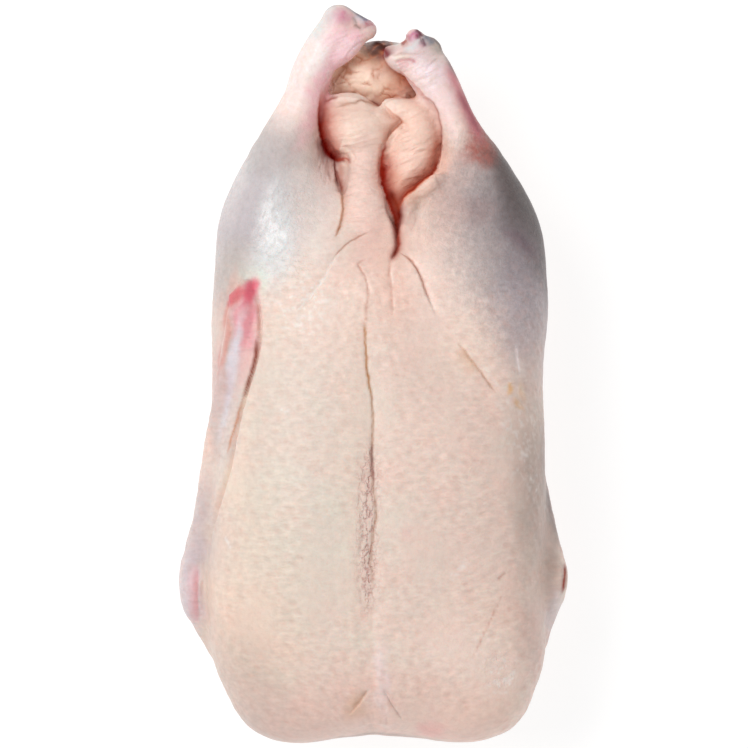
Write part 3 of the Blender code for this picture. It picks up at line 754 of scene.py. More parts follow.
# painted ovals, in plan: oval centre, half sizes, turn, colour, strength, softness
skinPatches = [
    ("breastLeftWarm", (-63.6, -116.4), (30, 60), 0, "#edd0bc", 0.5, 0.6),
    ("breastLeftCream", (-37.9, -75.2), (34, 60), 0, "#e6d8ca", 0.4, 0.7),
    ("breastRightPink", (42, -95.8), (36, 60), 0, "#ecd3c7", 0.5, 0.7),
    ("bellyPeach", (-14.7, 38.1), (36, 24), 10, "#eecec0", 0.7, 0.6),
    ("bellyRightPeach", (29.1, 38.1), (30, 34), -20, "#f3d4c7", 0.7, 0.6),
    ("centreUpper", (-0.8, -13.4), (70, 36), 0, "#e9d0c4", 0.4, 0.8),
    ("neckEndPink", (0.8, -175.6), (70, 20), 0, "#e9c4b8", 0.6, 0.7),
    ("ridgeLavender", (5.4, -152.4), (3.4, 18), 0, "#e9d9dc", 0.4, 0.5),
    ("breastLowLight", (49.7, -142.1), (22, 16), -20, "#f2dcd2", 0.6, 0.7),
    ("thighLeftGrey", (-62.6, 81.9), (26, 42), -18, "#d0cacb", 0.9, 0.5),
    ("thighLeftMauve", (-64.6, 81.4), (7, 34), -16, "#bdb3b6", 0.6, 0.7),
    # partly pale skin and partly a painted highlight, under the glint on the thigh
    ("thighLeftPaleAndHighlight", (-50.2, 73.1), (9, 24), -4, "#e6e4e3", 0.75, 0.6),
    ("thighLeftTop", (-52.3, 115.4), (16, 14), 40, "#bfb1ae", 0.7, 0.5),
    ("thighLeftInner", (-28.6, 89.6), (12, 28), 0, "#e5d5cf", 0.6, 0.6),
    ("thighLeftLow", (-71.3, 51), (12, 16), 0, "#c8bdb1", 0.6, 0.7),
    ("shankLeftPale", (-33.7, 156.6), (12, 28), -26, "#f2e4e2", 0.8, 0.5),
    ("shankLeftPink", (-23.9, 148.3), (6.5, 30), -24, "#f0b8be", 0.9, 0.5),
    ("shankLeftRed", (-14.7, 170), (12, 10), -35, "#f8cace", 0.9, 0.5),
    ("hockLeftBeige", (-12.1, 178.2), (5, 3), -10, "#e6c6ba", 0.7, 0.6),
    ("hockLeftPink", (-16.7, 183.3), (6, 4), -10, "#dc9cac", 0.9, 0.6),
    ("hockLeftPinkLow", (-20.3, 182.8), (2.4, 2.6), 0, "#e2aab6", 0.7, 0.7),
    ("hockLeftGrey", (-27.6, 182.3), (6, 12), -28, "#d9dddb", 0.75, 0.6),
    ("hockLeftTip", (-5.4, 180.8), (5, 3), -30, "#e2dce2", 0.8, 0.5),
    ("hockLeftLip", (-1.3, 177.7), (4.6, 3), 0, "#d8a0a4", 0.9, 0.5),
    ("hockLeftCream", (-1, 174.1), (2.2, 1.8), 0, "#f0d9d0", 0.8, 0.5),
    ("thighRightVeil", (71.3, 63.9), (28, 50), 14, "#b3a8a8", 0.9, 0.6),
    # the right thigh greys and darkens towards its outline: partly its own colour, partly painted shade
    ("thighRightShade", (80.6, 78.3), (22, 42), 24, "#82777a", 0.85, 0.75),
    ("thighRightLow", (79.6, 33), (14, 32), 4, "#a89ca4", 0.65, 0.8),
    ("thighRightBrown", (52.3, 82.4), (8, 7), 0, "#a08684", 0.55, 0.8),
    # partly a bruise and partly painted shade at the thigh's outline, in this oval and the next
    ("thighRightBruiseAndShade", (86.3, 87), (17, 40), 26, "#564b49", 0.9, 0.75),
    ("thighRightBruiseAndShadeTop", (68.2, 107.1), (8, 18), 32, "#5a4a48", 0.8, 0.7),
    ("thighRightPurple", (75.4, 67), (9, 3), -36, "#6f5560", 0.5, 0.8),
    ("thighRightInner", (37.3, 91.7), (9, 24), -6, "#d8b8ae", 0.6, 0.7),
    ("shankRightPale", (28.1, 153.5), (11, 22), 26, "#f4e0e4", 0.85, 0.5),
    ("shankRightPatch", (55.9, 118.5), (9, 11), -40, "#b2584a", 0.75, 0.6),
    ("hockRightPink", (13.6, 161.7), (11, 6), -10, "#f3dcd8", 0.8, 0.6),
    ("hockRightKnob", (20.1, 172.8), (3.4, 3), 0, "#d28ca4", 0.95, 0.5),
    ("hockRightKnobLow", (16.7, 171.5), (1.8, 1.4), 0, "#cf959a", 0.8, 0.6),
    ("hockRightGrey", (33.7, 167.4), (3.6, 4), -40, "#aaa598", 0.8, 0.6),
    ("hockRightOuter", (31.2, 163.8), (5, 6), 30, "#e2cdc4", 0.6, 0.6),
    ("padTan", (4.9, 154.5), (31, 18), 0, "#eec2a8", 0.95, 0.3),
    ("padCream", (-9, 148.3), (14, 8), 0, "#fce4d0", 0.8, 0.7),
    ("padWarm", (20.9, 146.3), (10, 7), -30, "#cc8466", 0.8, 0.7),
    ("padOlive", (-2.3, 165.8), (4, 7), 0, "#a88668", 0.6, 0.6),
    # painted shadow in the hollow between the hocks
    ("padTop", (3.3, 168.9), (9, 7), 0, "#5a2820", 0.9, 0.5),
    ("padTopWarm", (-1.8, 160.2), (20, 4), 0, "#cc9a84", 0.4, 0.7),
    ("lobeLeftPeach", (-5.9, 123.6), (21, 16), 0, "#f3d6c6", 0.95, 0.3),
    ("strapPeach", (-3.9, 89.6), (10, 34), 0, "#edcdc1", 0.95, 0.35),
    ("lobeRightPeach", (20.3, 116.4), (15, 28), 8, "#f6d1c0", 0.95, 0.3),
    # painted shade where the right lobe turns down into its crevice
    ("lobeRightLowShade", (15.7, 94.8), (6, 11), 26, "#e2b49c", 0.6, 0.5),
    ("wingLeftBody", (-71.8, 1), (8.4, 52), -9, "#dccfc9", 0.85, 0.3),
    ("wingLeftPink", (-64.6, 26.8), (5.6, 20), -4, "#ea96a0", 0.9, 0.5),
    ("wingLeftEdge", (-74.4, 24.7), (2.4, 24), -8, "#e7a596", 0.8, 0.6),
    ("wingLeftLow", (-64.1, 6.2), (3.4, 13), -16, "#e9c0ba", 0.7, 0.6),
    ("wingLeftTip", (-64.6, 42.2), (4.4, 6.6), 0, "#dd5f72", 0.95, 0.4),
    ("wingLeftTipDark", (-71.3, 38.6), (3, 5), -20, "#dc6a72", 0.9, 0.45),
    ("wingLeftStreak", (-70.3, 9.3), (2.4, 20), -12, "#e6e6ec", 0.85, 0.6),
    ("shoulderLeftPink", (-94.5, -112.3), (7, 24), 0, "#dcc3c6", 0.8, 0.5),
    ("shoulderLeftRim", (-97.6, -112.3), (4, 22), 0, "#cdc4c6", 0.7, 0.6),
    ("shoulderLeftMauve", (-89.9, -79.3), (5, 22), -8, "#d2bcbc", 0.6, 0.7),
    ("shoulderRightGrey", (94.5, -124.1), (6, 12), 0, "#ebe0e1", 0.6, 0.6),
    # painted shade along the right edge of the breast
    ("breastRightEdgeShade", (83.2, -49.4), (10, 70), 0, "#b09a8d", 0.55, 0.9),
    ("yellowPatch", (69.8, -8.2), (1.7, 2.2), 20, "#e6b57c", 0.8, 0.7),
    ("yellowPatchLow", (74.4, -14.9), (1.8, 2.8), 40, "#deb082", 0.7, 0.7),
    ("yellowPatchPale", (77, -9.3), (2, 3.5), 20, "#e8c4a0", 0.5, 0.8),
    ("pinkSpots", (17.8, -79.3), (3.2, 3.2), 0, "#ecb2ae", 0.3, 0.8),
    # painted glints: pale specks where the wet skin catches light, in this oval and the next three
    ("speckLowRight", (65.1, -153.5), (7, 8), 0, "#fbf0ec", 0.6, 0.6),
    ("speckMiddle", (42.5, -99.9), (10, 4), 10, "#f4eae4", 0.5, 0.6),
    ("speckBelly", (-37.9, 34), (15, 15), 0, "#faf0ea", 0.5, 0.7),
    ("speckSide", (75.4, -34), (9, 34), 12, "#f0e6e0", 0.45, 0.7),
    ("neckPinkRight", (29.1, -182.3), (6, 4), 0, "#eaa8a4", 0.5, 0.8),
    ("neckSmear", (-9, -169.4), (4, 7), -30, "#d8a888", 0.5, 0.8),
]

# places so dark that they have to end at the outline; along the right side their darkness is partly painted
# shade
darkPlaces = (
    "thighRightShade", "thighRightBruiseAndShade", "thighRightBruiseAndShadeTop", "thighRightPurple", "breastRightEdgeShade",
    "neckPinkRight", "shankRightPatch",
)

# coloured lines: plan points, half width, colour, strength, and which flank runs out
skinStrokes = [
    # painted shade in the crotch fold: a red run where the lobe turns away into it, a dark line and a dark
    # pit
    ("crotchRedShade", [(-26.5, 148.3), (-28.1, 132.9), (-27, 121.5), (-23.4, 113.8), (-18.8, 110.2),
        (-14.7, 110.2)], 3, "#c45a46", 0.9, 1),
    ("crotchDark", [(-27.6, 140.1), (-28.1, 129.3), (-26.3, 119.5), (-22.9, 112.5), (-18.8, 110),
        (-14.2, 109.7)], 1.5, "#8c1808", 1.0, 1),
    ("crotchPit", [(-27.6, 123.6), (-25.8, 116.4), (-23.2, 112.3), (-19.3, 110.2), (-14.7, 109.2)], 2.3,
        "#760a04", 0.97, 0),
    # painted shade between the lobes and down the vent: red runs where the lobes turn away, dark lines and
    # a dark slit
    ("betweenUpperRedShade", [(5.4, 138), (9.5, 134.4), (15.2, 129.3), (10.6, 125.1), (5.4, 116.9)], 1.8,
        "#d89c84", 0.7, -1),
    ("betweenUpperLine", [(12.6, 132.9), (14.7, 129.3), (12.1, 126.7), (8.5, 122.6), (5.4, 116.4)], 0.6,
        "#a65c44", 0.8, -1),
    ("betweenLowerRedShade", [(7.5, 121.5), (4.4, 112.8), (3.9, 98.9)], 1.8, "#d89480", 0.6, 0),
    ("betweenLowerLine", [(6.4, 119), (4.4, 111.2), (3.9, 98.9)], 0.9, "#983424", 0.9, 0),
    ("ventRedShade", [(4.6, 115.4), (3.9, 106.1), (4.1, 98.4), (5.9, 92.7), (8.2, 84.5), (11.3, 76.2)], 2.4,
        "#c85038", 0.9, 1),
    ("ventDark", [(3.9, 105.1), (4.1, 98.4), (5.9, 93.2), (8, 87.5), (10, 81.9), (11.3, 76.2), (12.1, 69)],
        1.3, "#941c0a", 1.0, 1),
    ("ventPit", [(4.6, 107.6), (5.2, 103), (4.6, 97.9)], 1.6, "#a8240e", 0.85, 0),
    ("ventWide", [(8, 95.8), (10, 90.6), (12.1, 86), (12.9, 80.9), (12.4, 74.2)], 2.8, "#6c1408", 1.0, 0),
    ("ventHalo", [(12.1, 76.2), (12.9, 65.9), (9, 57.7)], 2.4, "#e0a490", 0.35, 0),
    ("ventEnd", [(10, 83.4), (11.3, 76.2), (12.4, 70), (12.4, 64.9), (10.8, 61.3), (8, 56.6)], 1.9,
        "#962e1a", 0.95, 0),
    # painted shade under the flap's edge and along the right lobe's outer edge: red runs and dark lines
    ("flapRedShade", [(34.2, 128.8), (35, 120.5), (33.2, 108.7), (31.2, 103.5), (23.9, 97.1), (19.3, 93),
        (14.7, 88.1), (12.6, 82.4)], 1.8, "#cc6848", 0.9, -1),
    ("flapLine", [(35, 116.4), (33.2, 108.7), (31.2, 104), (27.8, 100.9), (23.4, 97.3), (18.8, 93.2),
        (14.9, 89.4), (12.6, 83.4)], 1.2, "#8c2614", 0.95, -1),
    ("flapNotch", [(31.4, 102.5), (32.7, 97.9), (34.8, 93.7), (36.3, 88.6)], 0.6, "#c8a094", 0.7, 0),
    ("lobeOuterRedShade", [(25, 142.7), (32.7, 134.9), (35, 121.5), (33.2, 107.1)], 1.8, "#d09482", 0.7, -1),
    ("lobeOuterLine", [(23.9, 142.7), (30.1, 139.6), (33.2, 133.4), (35, 122.6), (33.2, 107.1)], 0.5,
        "#9c5848", 0.8, 0),
    # painted shade in the creases where the shanks and lobes lie over the pad, in this stroke and the next
    # five
    ("bandLeftRed", [(-27, 137), (-24.5, 139.6), (-21.4, 141.4), (-17.8, 142.7)], 0.9, "#9c4438", 0.75, 0),
    ("shankUnderRed", [(11.6, 157.6), (15.7, 154), (19.3, 150.6), (22.9, 146.8), (27, 142.1),
        (29.6, 138.5)], 0.6, "#c88078", 0.6, -1),
    ("padUnderLine", foldPath["padUnder"], 0.6, "#a8583e", 0.7, 1),
    ("padUnderDark", [(-25.5, 139.6), (-22.4, 141.6), (-18.8, 142.7)], 1, "#8c3626", 0.7, 0),
    ("padUnderDarkMid", [(-2.3, 140.6), (1.3, 139.1), (3.3, 137)], 1, "#8c3a28", 0.8, 0),
    ("bandShade", foldPath["bandLine"], 0.6, "#b0704f", 0.65, 0),
    # painted shade in the pocket, the lobe's curl and the column's crease, in this stroke and the next
    # three
    ("pocketRedShade", [(-17.3, 110.2), (-16.7, 104), (-16.2, 98.9), (-16, 93.7), (-16, 86.5)], 2.1, "#c07c68",
        0.6, 0),
    ("pocketDark", [(-19.3, 106.1), (-17.8, 99.9), (-16.5, 95.8), (-16.2, 92.2)], 1, "#94483a", 0.85, 0),
    ("curlLine", [(-20.3, 110.7), (-16.7, 110.5), (-13.6, 110.5), (-11.6, 107.6)], 0.9, "#b04a38", 0.85, 0),
    ("columnLine", [(-19.8, 111.2), (-19.7, 106.1), (-19.1, 100.9), (-18, 95.8)], 0.55, "#7c2e20", 0.95, 0),
    ("columnSide", [(-22.9, 110.2), (-22.7, 105.1), (-21.9, 97.9)], 0.8, "#b89084", 0.6, 0),
    ("groinLine", [(-16.2, 94.8), (-15.7, 87.5), (-15.7, 82.9), (-16.5, 78.3), (-18.3, 72.6),
        (-20.3, 67.5)], 0.8, "#cc9878", 0.9, 0),
    ("groinPale", [(-18.3, 91.7), (-17.5, 86.5), (-17.8, 81.4), (-19.3, 76.2)], 0.9, "#eadccf", 0.5, 0),
    # painted shade along the pad's edges where the shanks overhang it, darkest in the hollow between the
    # hocks, in this stroke and the next four
    ("padLow", [(-20.9, 142.1), (-14.7, 143.7), (-8, 142.7)], 1.6, "#b87460", 0.8, 0),
    ("padLeftRedShade", [(-26.5, 137), (-22.9, 144.7), (-18.8, 151.9), (-13.6, 158.6), (-9, 162.7)], 0.9,
        "#b06c50", 0.65, 1),
    ("padUpperLeft", [(-13.1, 158.6), (-8, 163.8), (-3.9, 167.9), (-0.3, 171)], 1.2, "#a47c60", 0.25, 0),
    ("padRightRedShade", [(5.4, 164.8), (10.6, 157.6), (19.3, 150.9), (27.6, 141.6)], 1.3, "#96452f", 0.9, -1),
    ("padTopDark", [(-1.8, 171.5), (1.8, 171), (5.4, 168.4), (7.5, 162.7)], 3, "#48201a", 0.95, 0),
    ("shankLeftRim", [(-20.3, 153.5), (-25, 142.1), (-27.6, 128.8)], 1.1, "#d08c88", 0.6, 0),
    ("shankRightRed", [(36.3, 162.7), (40.9, 152.4), (45.1, 142.1), (49.7, 131.3), (56.9, 116.4)], 4,
        "#d4868e", 0.85, 0),
    ("shankRightEdge", [(45.1, 149.3), (49.2, 142.7), (53.3, 136), (57.9, 128.8), (64.6, 116.4)], 1.9,
        "#744048", 0.85, 0),
    ("shankRightBlood", [(42.5, 146.3), (47.1, 138), (50.7, 131.3), (55.4, 122.1)], 2.2, "#a4606a", 0.8, 0),
    ("shankRightWarm", [(32.2, 149.3), (35.8, 139.1), (39.4, 127.7), (42.5, 117.4)], 4, "#f6d8d4", 0.7, 0),
    ("keelShade", foldPath["keelLine"], 0.6, "#b08468", 0.9, 0),
    ("keelOrange", [(-3.9, 28.8), (-4.2, 22.7), (-3.6, 7.2), (-2.3, -5.2), (-1, -12.4)], 0.5, "#bc7c44",
        0.9, 0),
    ("keelDark", [(-1, -34), (-1, -38.1), (-0.8, -43.3), (-0.3, -49.4), (0, -56.6)], 0.75, "#70362c", 0.95,
        0),
    ("keelPink", [(-1.8, -34), (-3.3, -85.5), (-2.8, -122.6)], 4, "#e6c2ba", 0.35, 0),
    ("crossShade", [(-1.3, 73.1), (-8, 69.8), (-14.7, 65.4), (-18.8, 60.8), (-22.4, 54.6)], 0.5, "#b88a78",
        0.8, 0),
    ("crossGlint", [(-16.7, 62.8), (-20.9, 57.2), (-25, 48.9), (-30.1, 41.7), (-35.8, 35.5), (-40.9, 29.9)],
        0.8, "#f6e6de", 0.7, 0),
    ("underStrapShade", [(-2.8, 58.7), (-7.7, 56.1), (-6.4, 53), (-3.9, 48.4), (-2.6, 41.7), (-3.6, 35),
        (-3.9, 22.7)], 0.5, "#c48e7c", 0.7, 0),
    ("tongueShade", [(12.6, 62.3), (18, 58.5), (21.8, 53.6), (24.3, 48.4), (26.2, 42.7), (29.1, 35.5)], 0.6,
        "#c4836e", 0.8, 0),
    ("tongueShadeLeft", foldPath["tongueLeft"], 0.6, "#d09a88", 0.6, 0),
    ("tonguePale", [(10, 57.7), (9.5, 51.5), (10, 45.3)], 0.9, "#f4e4da", 0.6, 0),
    # painted shade in the crevice between the left wing and the body, in this stroke and the next two
    ("wingCrevice", [(-59, 19.6), (-60, 8.2), (-62.8, -2.1), (-67, -14.4)], 1.0, "#8e3a20", 0.95, 0),
    ("wingCreviceLow", [(-66.2, -11.3), (-69.3, -22.7), (-72.4, -33), (-74.4, -41.2)], 0.6, "#cc8254", 0.75,
        0),
    ("wingCreviceTop", [(-60, 42.2), (-58.5, 35), (-58.2, 17.5)], 0.8, "#cf8d84", 0.6, 0),
    ("wingWhite", [(-68.8, 26.8), (-69.3, 12.4), (-71.3, -1), (-74.9, -17.5), (-80.1, -37.1)], 1.8,
        "#e6e5ea", 0.85, 0),
    ("breastRightShade", foldPath["breastRight"], 0.55, "#b98e76", 0.8, 0),
    ("breastRightTan", [(44, 13.9), (48.7, 7.7), (53.8, 1.5)], 1.8, "#e0b090", 0.5, -1),
    ("breastRightPale", [(54.8, 5.2), (60, -1), (65.1, -8.2)], 0.9, "#f4e2d8", 0.6, 0),
    ("scratchLine", [(66.2, -109.2), (57.9, -127.7), (49.2, -145.7)], 0.35, "#cc9c8a", 0.6, 0),
    ("nickShade", foldPath["breastNick"], 0.6, "#bd8d7e", 0.7, 0),
    # painted glints: short pale lines where small glints show, in this stroke and the next eight
    ("markUpper", [(72.1, 15.5), (73.4, 8.2), (74.4, -1)], 0.6, "#f2e6e6", 0.7, 0),
    ("markMiddle", [(61, -14.4), (63.6, -16), (66.2, -18)], 0.5, "#f4e6e0", 0.6, 0),
    ("markLower", [(74.4, -38.6), (76.5, -40.2), (79.1, -41.7)], 1, "#f3eae4", 0.8, 0),
    ("markSideA", [(79.1, -51.5), (80.1, -53), (81.1, -54.6)], 0.5, "#f4eae6", 0.7, 0),
    ("markSideB", [(88.3, -67), (89.4, -69), (90.4, -70.6)], 0.5, "#f2e6e4", 0.7, 0),
    ("markSideC", [(82.1, -57.7), (83.2, -59.2), (84.2, -60.3)], 0.4, "#f2e8e4", 0.6, 0),
    ("markBelly", [(-48.2, -17.5), (-44.5, -18.3), (-40.4, -18)], 0.45, "#f8eeea", 0.7, 0),
    ("markBreastLeft", [(-76, -81.4), (-73.9, -86), (-71.8, -88.6)], 0.5, "#faf0ec", 0.7, 0),
    ("markInner", [(63.6, -24.7), (65.7, -25.8), (67.7, -26.8)], 0.6, "#efe2dc", 0.6, 0),
    ("pinkLine", [(-89.9, -96.8), (-90.1, -106.1), (-90.4, -115.4), (-89.9, -128.8)], 1.6, "#f0aeb4", 0.65,
        -1),
    ("shoulderRightRed", [(98.6, -96.8), (98.4, -102), (97.9, -107.6), (97.1, -113.3)], 1.2, "#92392a", 1.0,
        0),
    ("neckLeftShade", [(-3.3, -160.2), (-6.4, -164.8), (-11.1, -170)], 1.0, "#c4926e", 0.55, 0),
    ("neckRightShade", [(5.9, -159.7), (9, -164.3), (11.6, -169.4)], 0.6, "#d4aca0", 0.5, 0),
    # painted shade along the lower edge of the neck end
    ("neckRimShade", [(-37.9, -189.5), (-19.8, -187.7), (-7, -185.7), (-0.8, -184.9), (9.5, -185.1),
        (29.1, -188), (45.6, -190)], 1.1, "#8a7876", 0.5, 0),
    # painted shade along the right outline of the thigh and the side, in this stroke and the next
    ("thighRightRimShade", [(54.8, 126.7), (65.1, 114.3), (75.4, 97.9), (83.7, 78.3), (88.3, 57.7),
        (90.4, 27.8)], 3.8, "#453a37", 0.6, 0),
    ("sideRightRimShade", [(92.4, 43.3), (91.9, 12.4), (90.4, -13.4), (89.1, -34), (88.8, -52), (90.9, -67.5),
        (95, -82.9), (99.7, -93.7)], 2.6, "#75666a", 0.62, 0),
    # painted shade in the right hock's pit
    ("hockPitDark", [(4.4, 167.4), (6.4, 165.3), (8, 162.2)], 3.4, "#803038", 0.95, 0),
    ("hockSpotTan", [(13.6, 169.4), (15.5, 170.2), (17.3, 171.5)], 1.7, "#b46a60", 0.9, 0),
    ("hockPale", [(9, 169.4), (11.6, 170), (14.2, 171.5)], 1.8, "#dedcd6", 0.7, 0),
    # painted shade in the right hock's cleft
    ("hockCleftRightRed", [(24.7, 172.5), (25.5, 170.5), (26.8, 167.9)], 0.9, "#5c2434", 0.95, 0),
    ("hockCleftPink", [(23.4, 171), (24.5, 168.9), (26, 167.4)], 1.4, "#c08a96", 0.7, 0),
    ("hockKnobRed", [(21.4, 174.1), (22.4, 173), (22.9, 171.5)], 1, "#a0546a", 0.8, 0),
    ("hockTopDark", [(20.9, 177.2), (22.9, 176.1), (24.5, 174.1), (26, 173.6)], 1.3, "#5e3440", 0.85, 0),
    # painted highlight on the pink knob
    ("hockKnobHighlight", [(19.3, 172.5), (20.3, 172), (21.4, 171.5)], 0.8, "#f4c8da", 0.8, 0),
    ("hockPinkFold", foldPath["hockFoldLower"], 0.8, "#d9989c", 0.8, 0),
    ("hockPinkBlush", [(12.6, 157.6), (15.7, 158.6), (18.3, 159.1)], 1.6, "#e6b0b4", 0.6, 0),
    ("hockCreamFold", [(9.5, 161.2), (14.2, 162.7), (19.8, 162.5)], 1.1, "#f6ead8", 0.6, 0),
    ("hockCreamShade", foldPath["hockFoldUpper"], 0.7, "#c0a08c", 0.45, 0),
    ("hockWhite", [(15.2, 167.4), (18.3, 166.9), (20.9, 168.4), (23.9, 172.5)], 1.7, "#e8eae8", 0.9, 0),
    ("hockBrowGrey", [(25, 174.1), (28.1, 172), (31.2, 168.9)], 2.6, "#868c94", 0.9, 0),
    # painted shade along the right hock's outline
    ("hockRimShadeRight", [(26, 175.1), (30.6, 172.5), (34.8, 168.4), (38.4, 161.7), (43.5, 149.9)], 1.3,
        "#827878", 0.8, 0),
    # painted shade along the left hock's outline, in this stroke and the next
    ("hockRimShadeLeft", [(-26.5, 186.4), (-22.4, 189), (-18.8, 190.3), (-14.7, 189.8), (-9.5, 185.9),
        (-3.9, 182.3), (1.8, 180.8)], 1, "#74727e", 0.9, 0),
    ("hockRimShadeTip", [(0.3, 182.3), (2.1, 179.2), (1.3, 175.1), (-1.3, 171)], 0.6, "#b08a90", 0.7, 0),
    ("hockDotLeft", [(-5.2, 182.1), (-3.9, 181.8), (-2.8, 181.3)], 0.8, "#8a889c", 0.8, 0),
    ("hockDotsLeft", [(-10, 179), (-8.5, 178.2), (-6.4, 177.4)], 0.8, "#a8867a", 0.75, 0),
    ("hockNotchShade", [(-11.1, 183.3), (-9.5, 181.3), (-8.8, 179.2)], 0.8, "#b4a294", 0.6, 0),
    ("hockFoldShade", [(-14.2, 171.5), (-9, 173), (-3.9, 174.1)], 1, "#ecacb2", 0.4, 0),
]

# where the skin is darker or paler all over: oval centre, half sizes, turn, share of red, green and
# blue, softness
skinTones = [
    # painted shade, darkening the left breast, which faces the light
    ("breastLeft", (-39.9, -49.4), (44, 92), 0, (0.88, 0.93, 0.93), 0.6),
    # painted shade along the left side, in this oval and the next two
    ("breastLeftEndShade", (-68.8, -162.7), (22, 34), 24, (0.76, 0.79, 0.81), 0.7),
    ("sideLeftLowShade", (-88.3, -80.3), (13, 26), 0, (0.8, 0.83, 0.88), 0.7),
    ("sideLeftUpperShade", (-79.6, 20.1), (11, 72), 0, (0.84, 0.83, 0.85), 0.6),
    ("bellyLeft", (-26.5, 51), (22, 22), 0, (1.0, 1.06, 1.08), 0.7),
    ("bellyRight", (34.2, 49.4), (16, 22), 0, (1.03, 1.08, 1.1), 0.7),
    ("thighRightInside", (45.6, 94.8), (10, 22), -12, (0.82, 0.83, 0.86), 0.7),
    ("hockRightShade", (23.9, 166.9), (14, 9), 0, (0.86, 0.83, 0.85), 0.6),
    ("hockLeftShade", (-10, 180.2), (13, 7), -20, (0.91, 0.88, 0.91), 0.7),
    ("bellyCentre", (-3.9, 63.9), (16, 15), 0, (0.93, 0.87, 0.86), 0.7),
    ("thighLeftOuter", (-63.6, 71.1), (10, 14), -10, (0.92, 0.92, 0.93), 0.7),
    ("kneeLeftOuter", (-60, 114.3), (9, 13), -30, (0.87, 0.9, 0.91), 0.7),
    ("kneeLeftInner", (-35.8, 113.3), (11, 9), 0, (0.9, 0.9, 0.9), 0.7),
    ("bellyRightLow", (30.1, 14.9), (30, 26), 0, (0.93, 0.94, 0.94), 0.7),
    ("sideRightMid", (85.7, 12.4), (9, 28), 0, (1.08, 1.1, 1.12), 0.7),
    ("thighRightRimLight", (86.8, 75.2), (7, 13), 0, (1.3, 1.32, 1.36), 0.7),
    ("wingLeftTone", (-74.4, 1), (9, 34), -8, (1.0, 0.91, 0.91), 0.7),
    ("wingLeftLowTone", (-75.4, -41.7), (9, 40), -8, (1.1, 1.07, 1.04), 0.7),
    # painted light, paler where the inner shank lies in shade
    ("shankLeftLight", (-24.5, 160.7), (9, 10), 0, (1.1, 1.15, 1.18), 0.7),
    ("hockTipTone", (-0.3, 178.2), (5, 6), 0, (0.9, 0.86, 0.88), 0.6),
    ("tongueTone", (10.6, 48.4), (10, 24), 0, (0.98, 0.93, 0.91), 0.7),
    ("breastRightBase", (17.8, -90.6), (18, 30), 0, (0.95, 0.99, 0.99), 0.7),
    ("wingTipTone", (-62.6, 46.4), (8, 8), 0, (1.05, 1.16, 1.12), 0.7),
    ("thighInnerLeft", (-37.9, 96.8), (22, 22), 0, (0.94, 0.96, 0.97), 0.7),
    ("shankEdgeLeft", (-62.6, 112.3), (10, 12), -30, (1.08, 1.1, 1.1), 0.7),
    ("neckEndLeft", (5.9, -171), (26, 16), 0, (1.01, 1.02, 1.02), 0.7),
    ("keelLeftLight", (-9.5, -54.6), (9, 90), 0, (1.05, 1.06, 1.05), 0.7),
    ("thighRightLow", (58.5, 20.1), (22, 26), 0, (1.18, 1.18, 1.17), 0.8),
    # painted shade on the right side
    ("sideRightLowShade", (89.4, -60.8), (15, 34), 0, (0.8, 0.79, 0.79), 0.7),
    ("breastRightEnd", (56.9, -144.7), (28, 36), 0, (1.08, 1.07, 1.05), 0.7),
    ("groinLeftRed", (-22.4, 108.2), (7, 15), 0, (1.0, 0.92, 0.92), 0.7),
    ("thighLeftBack", (-49.2, 95.8), (9, 14), 0, (0.94, 0.93, 0.93), 0.7),
    ("wingRoot", (-60.5, 46.4), (8, 10), 0, (1.02, 1.08, 1.07), 0.7),
    ("shoulderLeftLow", (-89.4, -126.7), (9, 14), 0, (0.91, 0.93, 0.94), 0.7),
    ("hockLeftLow", (-11.1, 168.9), (9, 5), -30, (1.16, 1.18, 1.19), 0.7),
    # painted shade along the right outline
    ("rimRightShade", (91.9, -88.1), (5, 30), 0, (0.88, 0.87, 0.87), 0.6),
    ("groinLow", (4.4, 102), (4, 10), 0, (1.15, 1.1, 1.1), 0.7),
    ("thighRightInner", (44.5, 87.5), (8, 12), 0, (0.93, 0.93, 0.93), 0.7),
    ("endLeft", (-63.6, -144.7), (14, 22), 0, (1.05, 1.01, 1.0), 0.7),
    ("wingLeftMid", (-76, -5.2), (5, 12), -8, (1.0, 0.94, 0.94), 0.7),
    ("breastLeftSide", (-76, -119.5), (8, 16), 0, (0.99, 0.97, 0.96), 0.7),
    ("padMiddle", (5.4, 155), (8, 5), 0, (0.9, 0.89, 0.92), 0.7),
    # painted shade at the lower right corner
    ("cornerRightShade", (88.3, -142.1), (13, 26), 0, (0.88, 0.85, 0.87), 0.7),
]


# where the skin is wettest: oval centre, half sizes, turn, amount, softness
wetPlaces = [
    ("thighLeft", (-50.7, 76.2), (11, 20), -10, 0.55, 0.35),
    ("thighLeftLow", (-45.6, 57.7), (15, 10), 0, 0.3, 0.4),
    ("thighLeftInner", (-34.2, 84.5), (7, 14), 0, 0.25, 0.4),
    ("breastRightEnd", (64.1, -149.9), (8, 9), 0, 0.6, 0.5),
    ("ventAndHocks", (5.9, 141.1), (40, 90), 0, 0.15, 0.4),
]

# both thighs have a cloudy grey bloom, and a fine network shows along the keel
thighCloud = [
    ("thighRight", (65.1, 69), (34, 62), 14, 1, 0.35),
    ("thighLeft", (-61, 81.9), (32, 52), -14, 0.4, 0.35),
]
netPath = [(-1.3, -31.9), (-2.3, -49.4), (-2.8, -75.2), (-2.8, -100.9), (-2.3, -124.6)]
netHalf = 4.6

# deep between the lobes of the vent the marks are painted whichever way the skin faces
cleftPlace = ((4.9, 110.2), (35, 50))
cleftLevels = (25, 35)


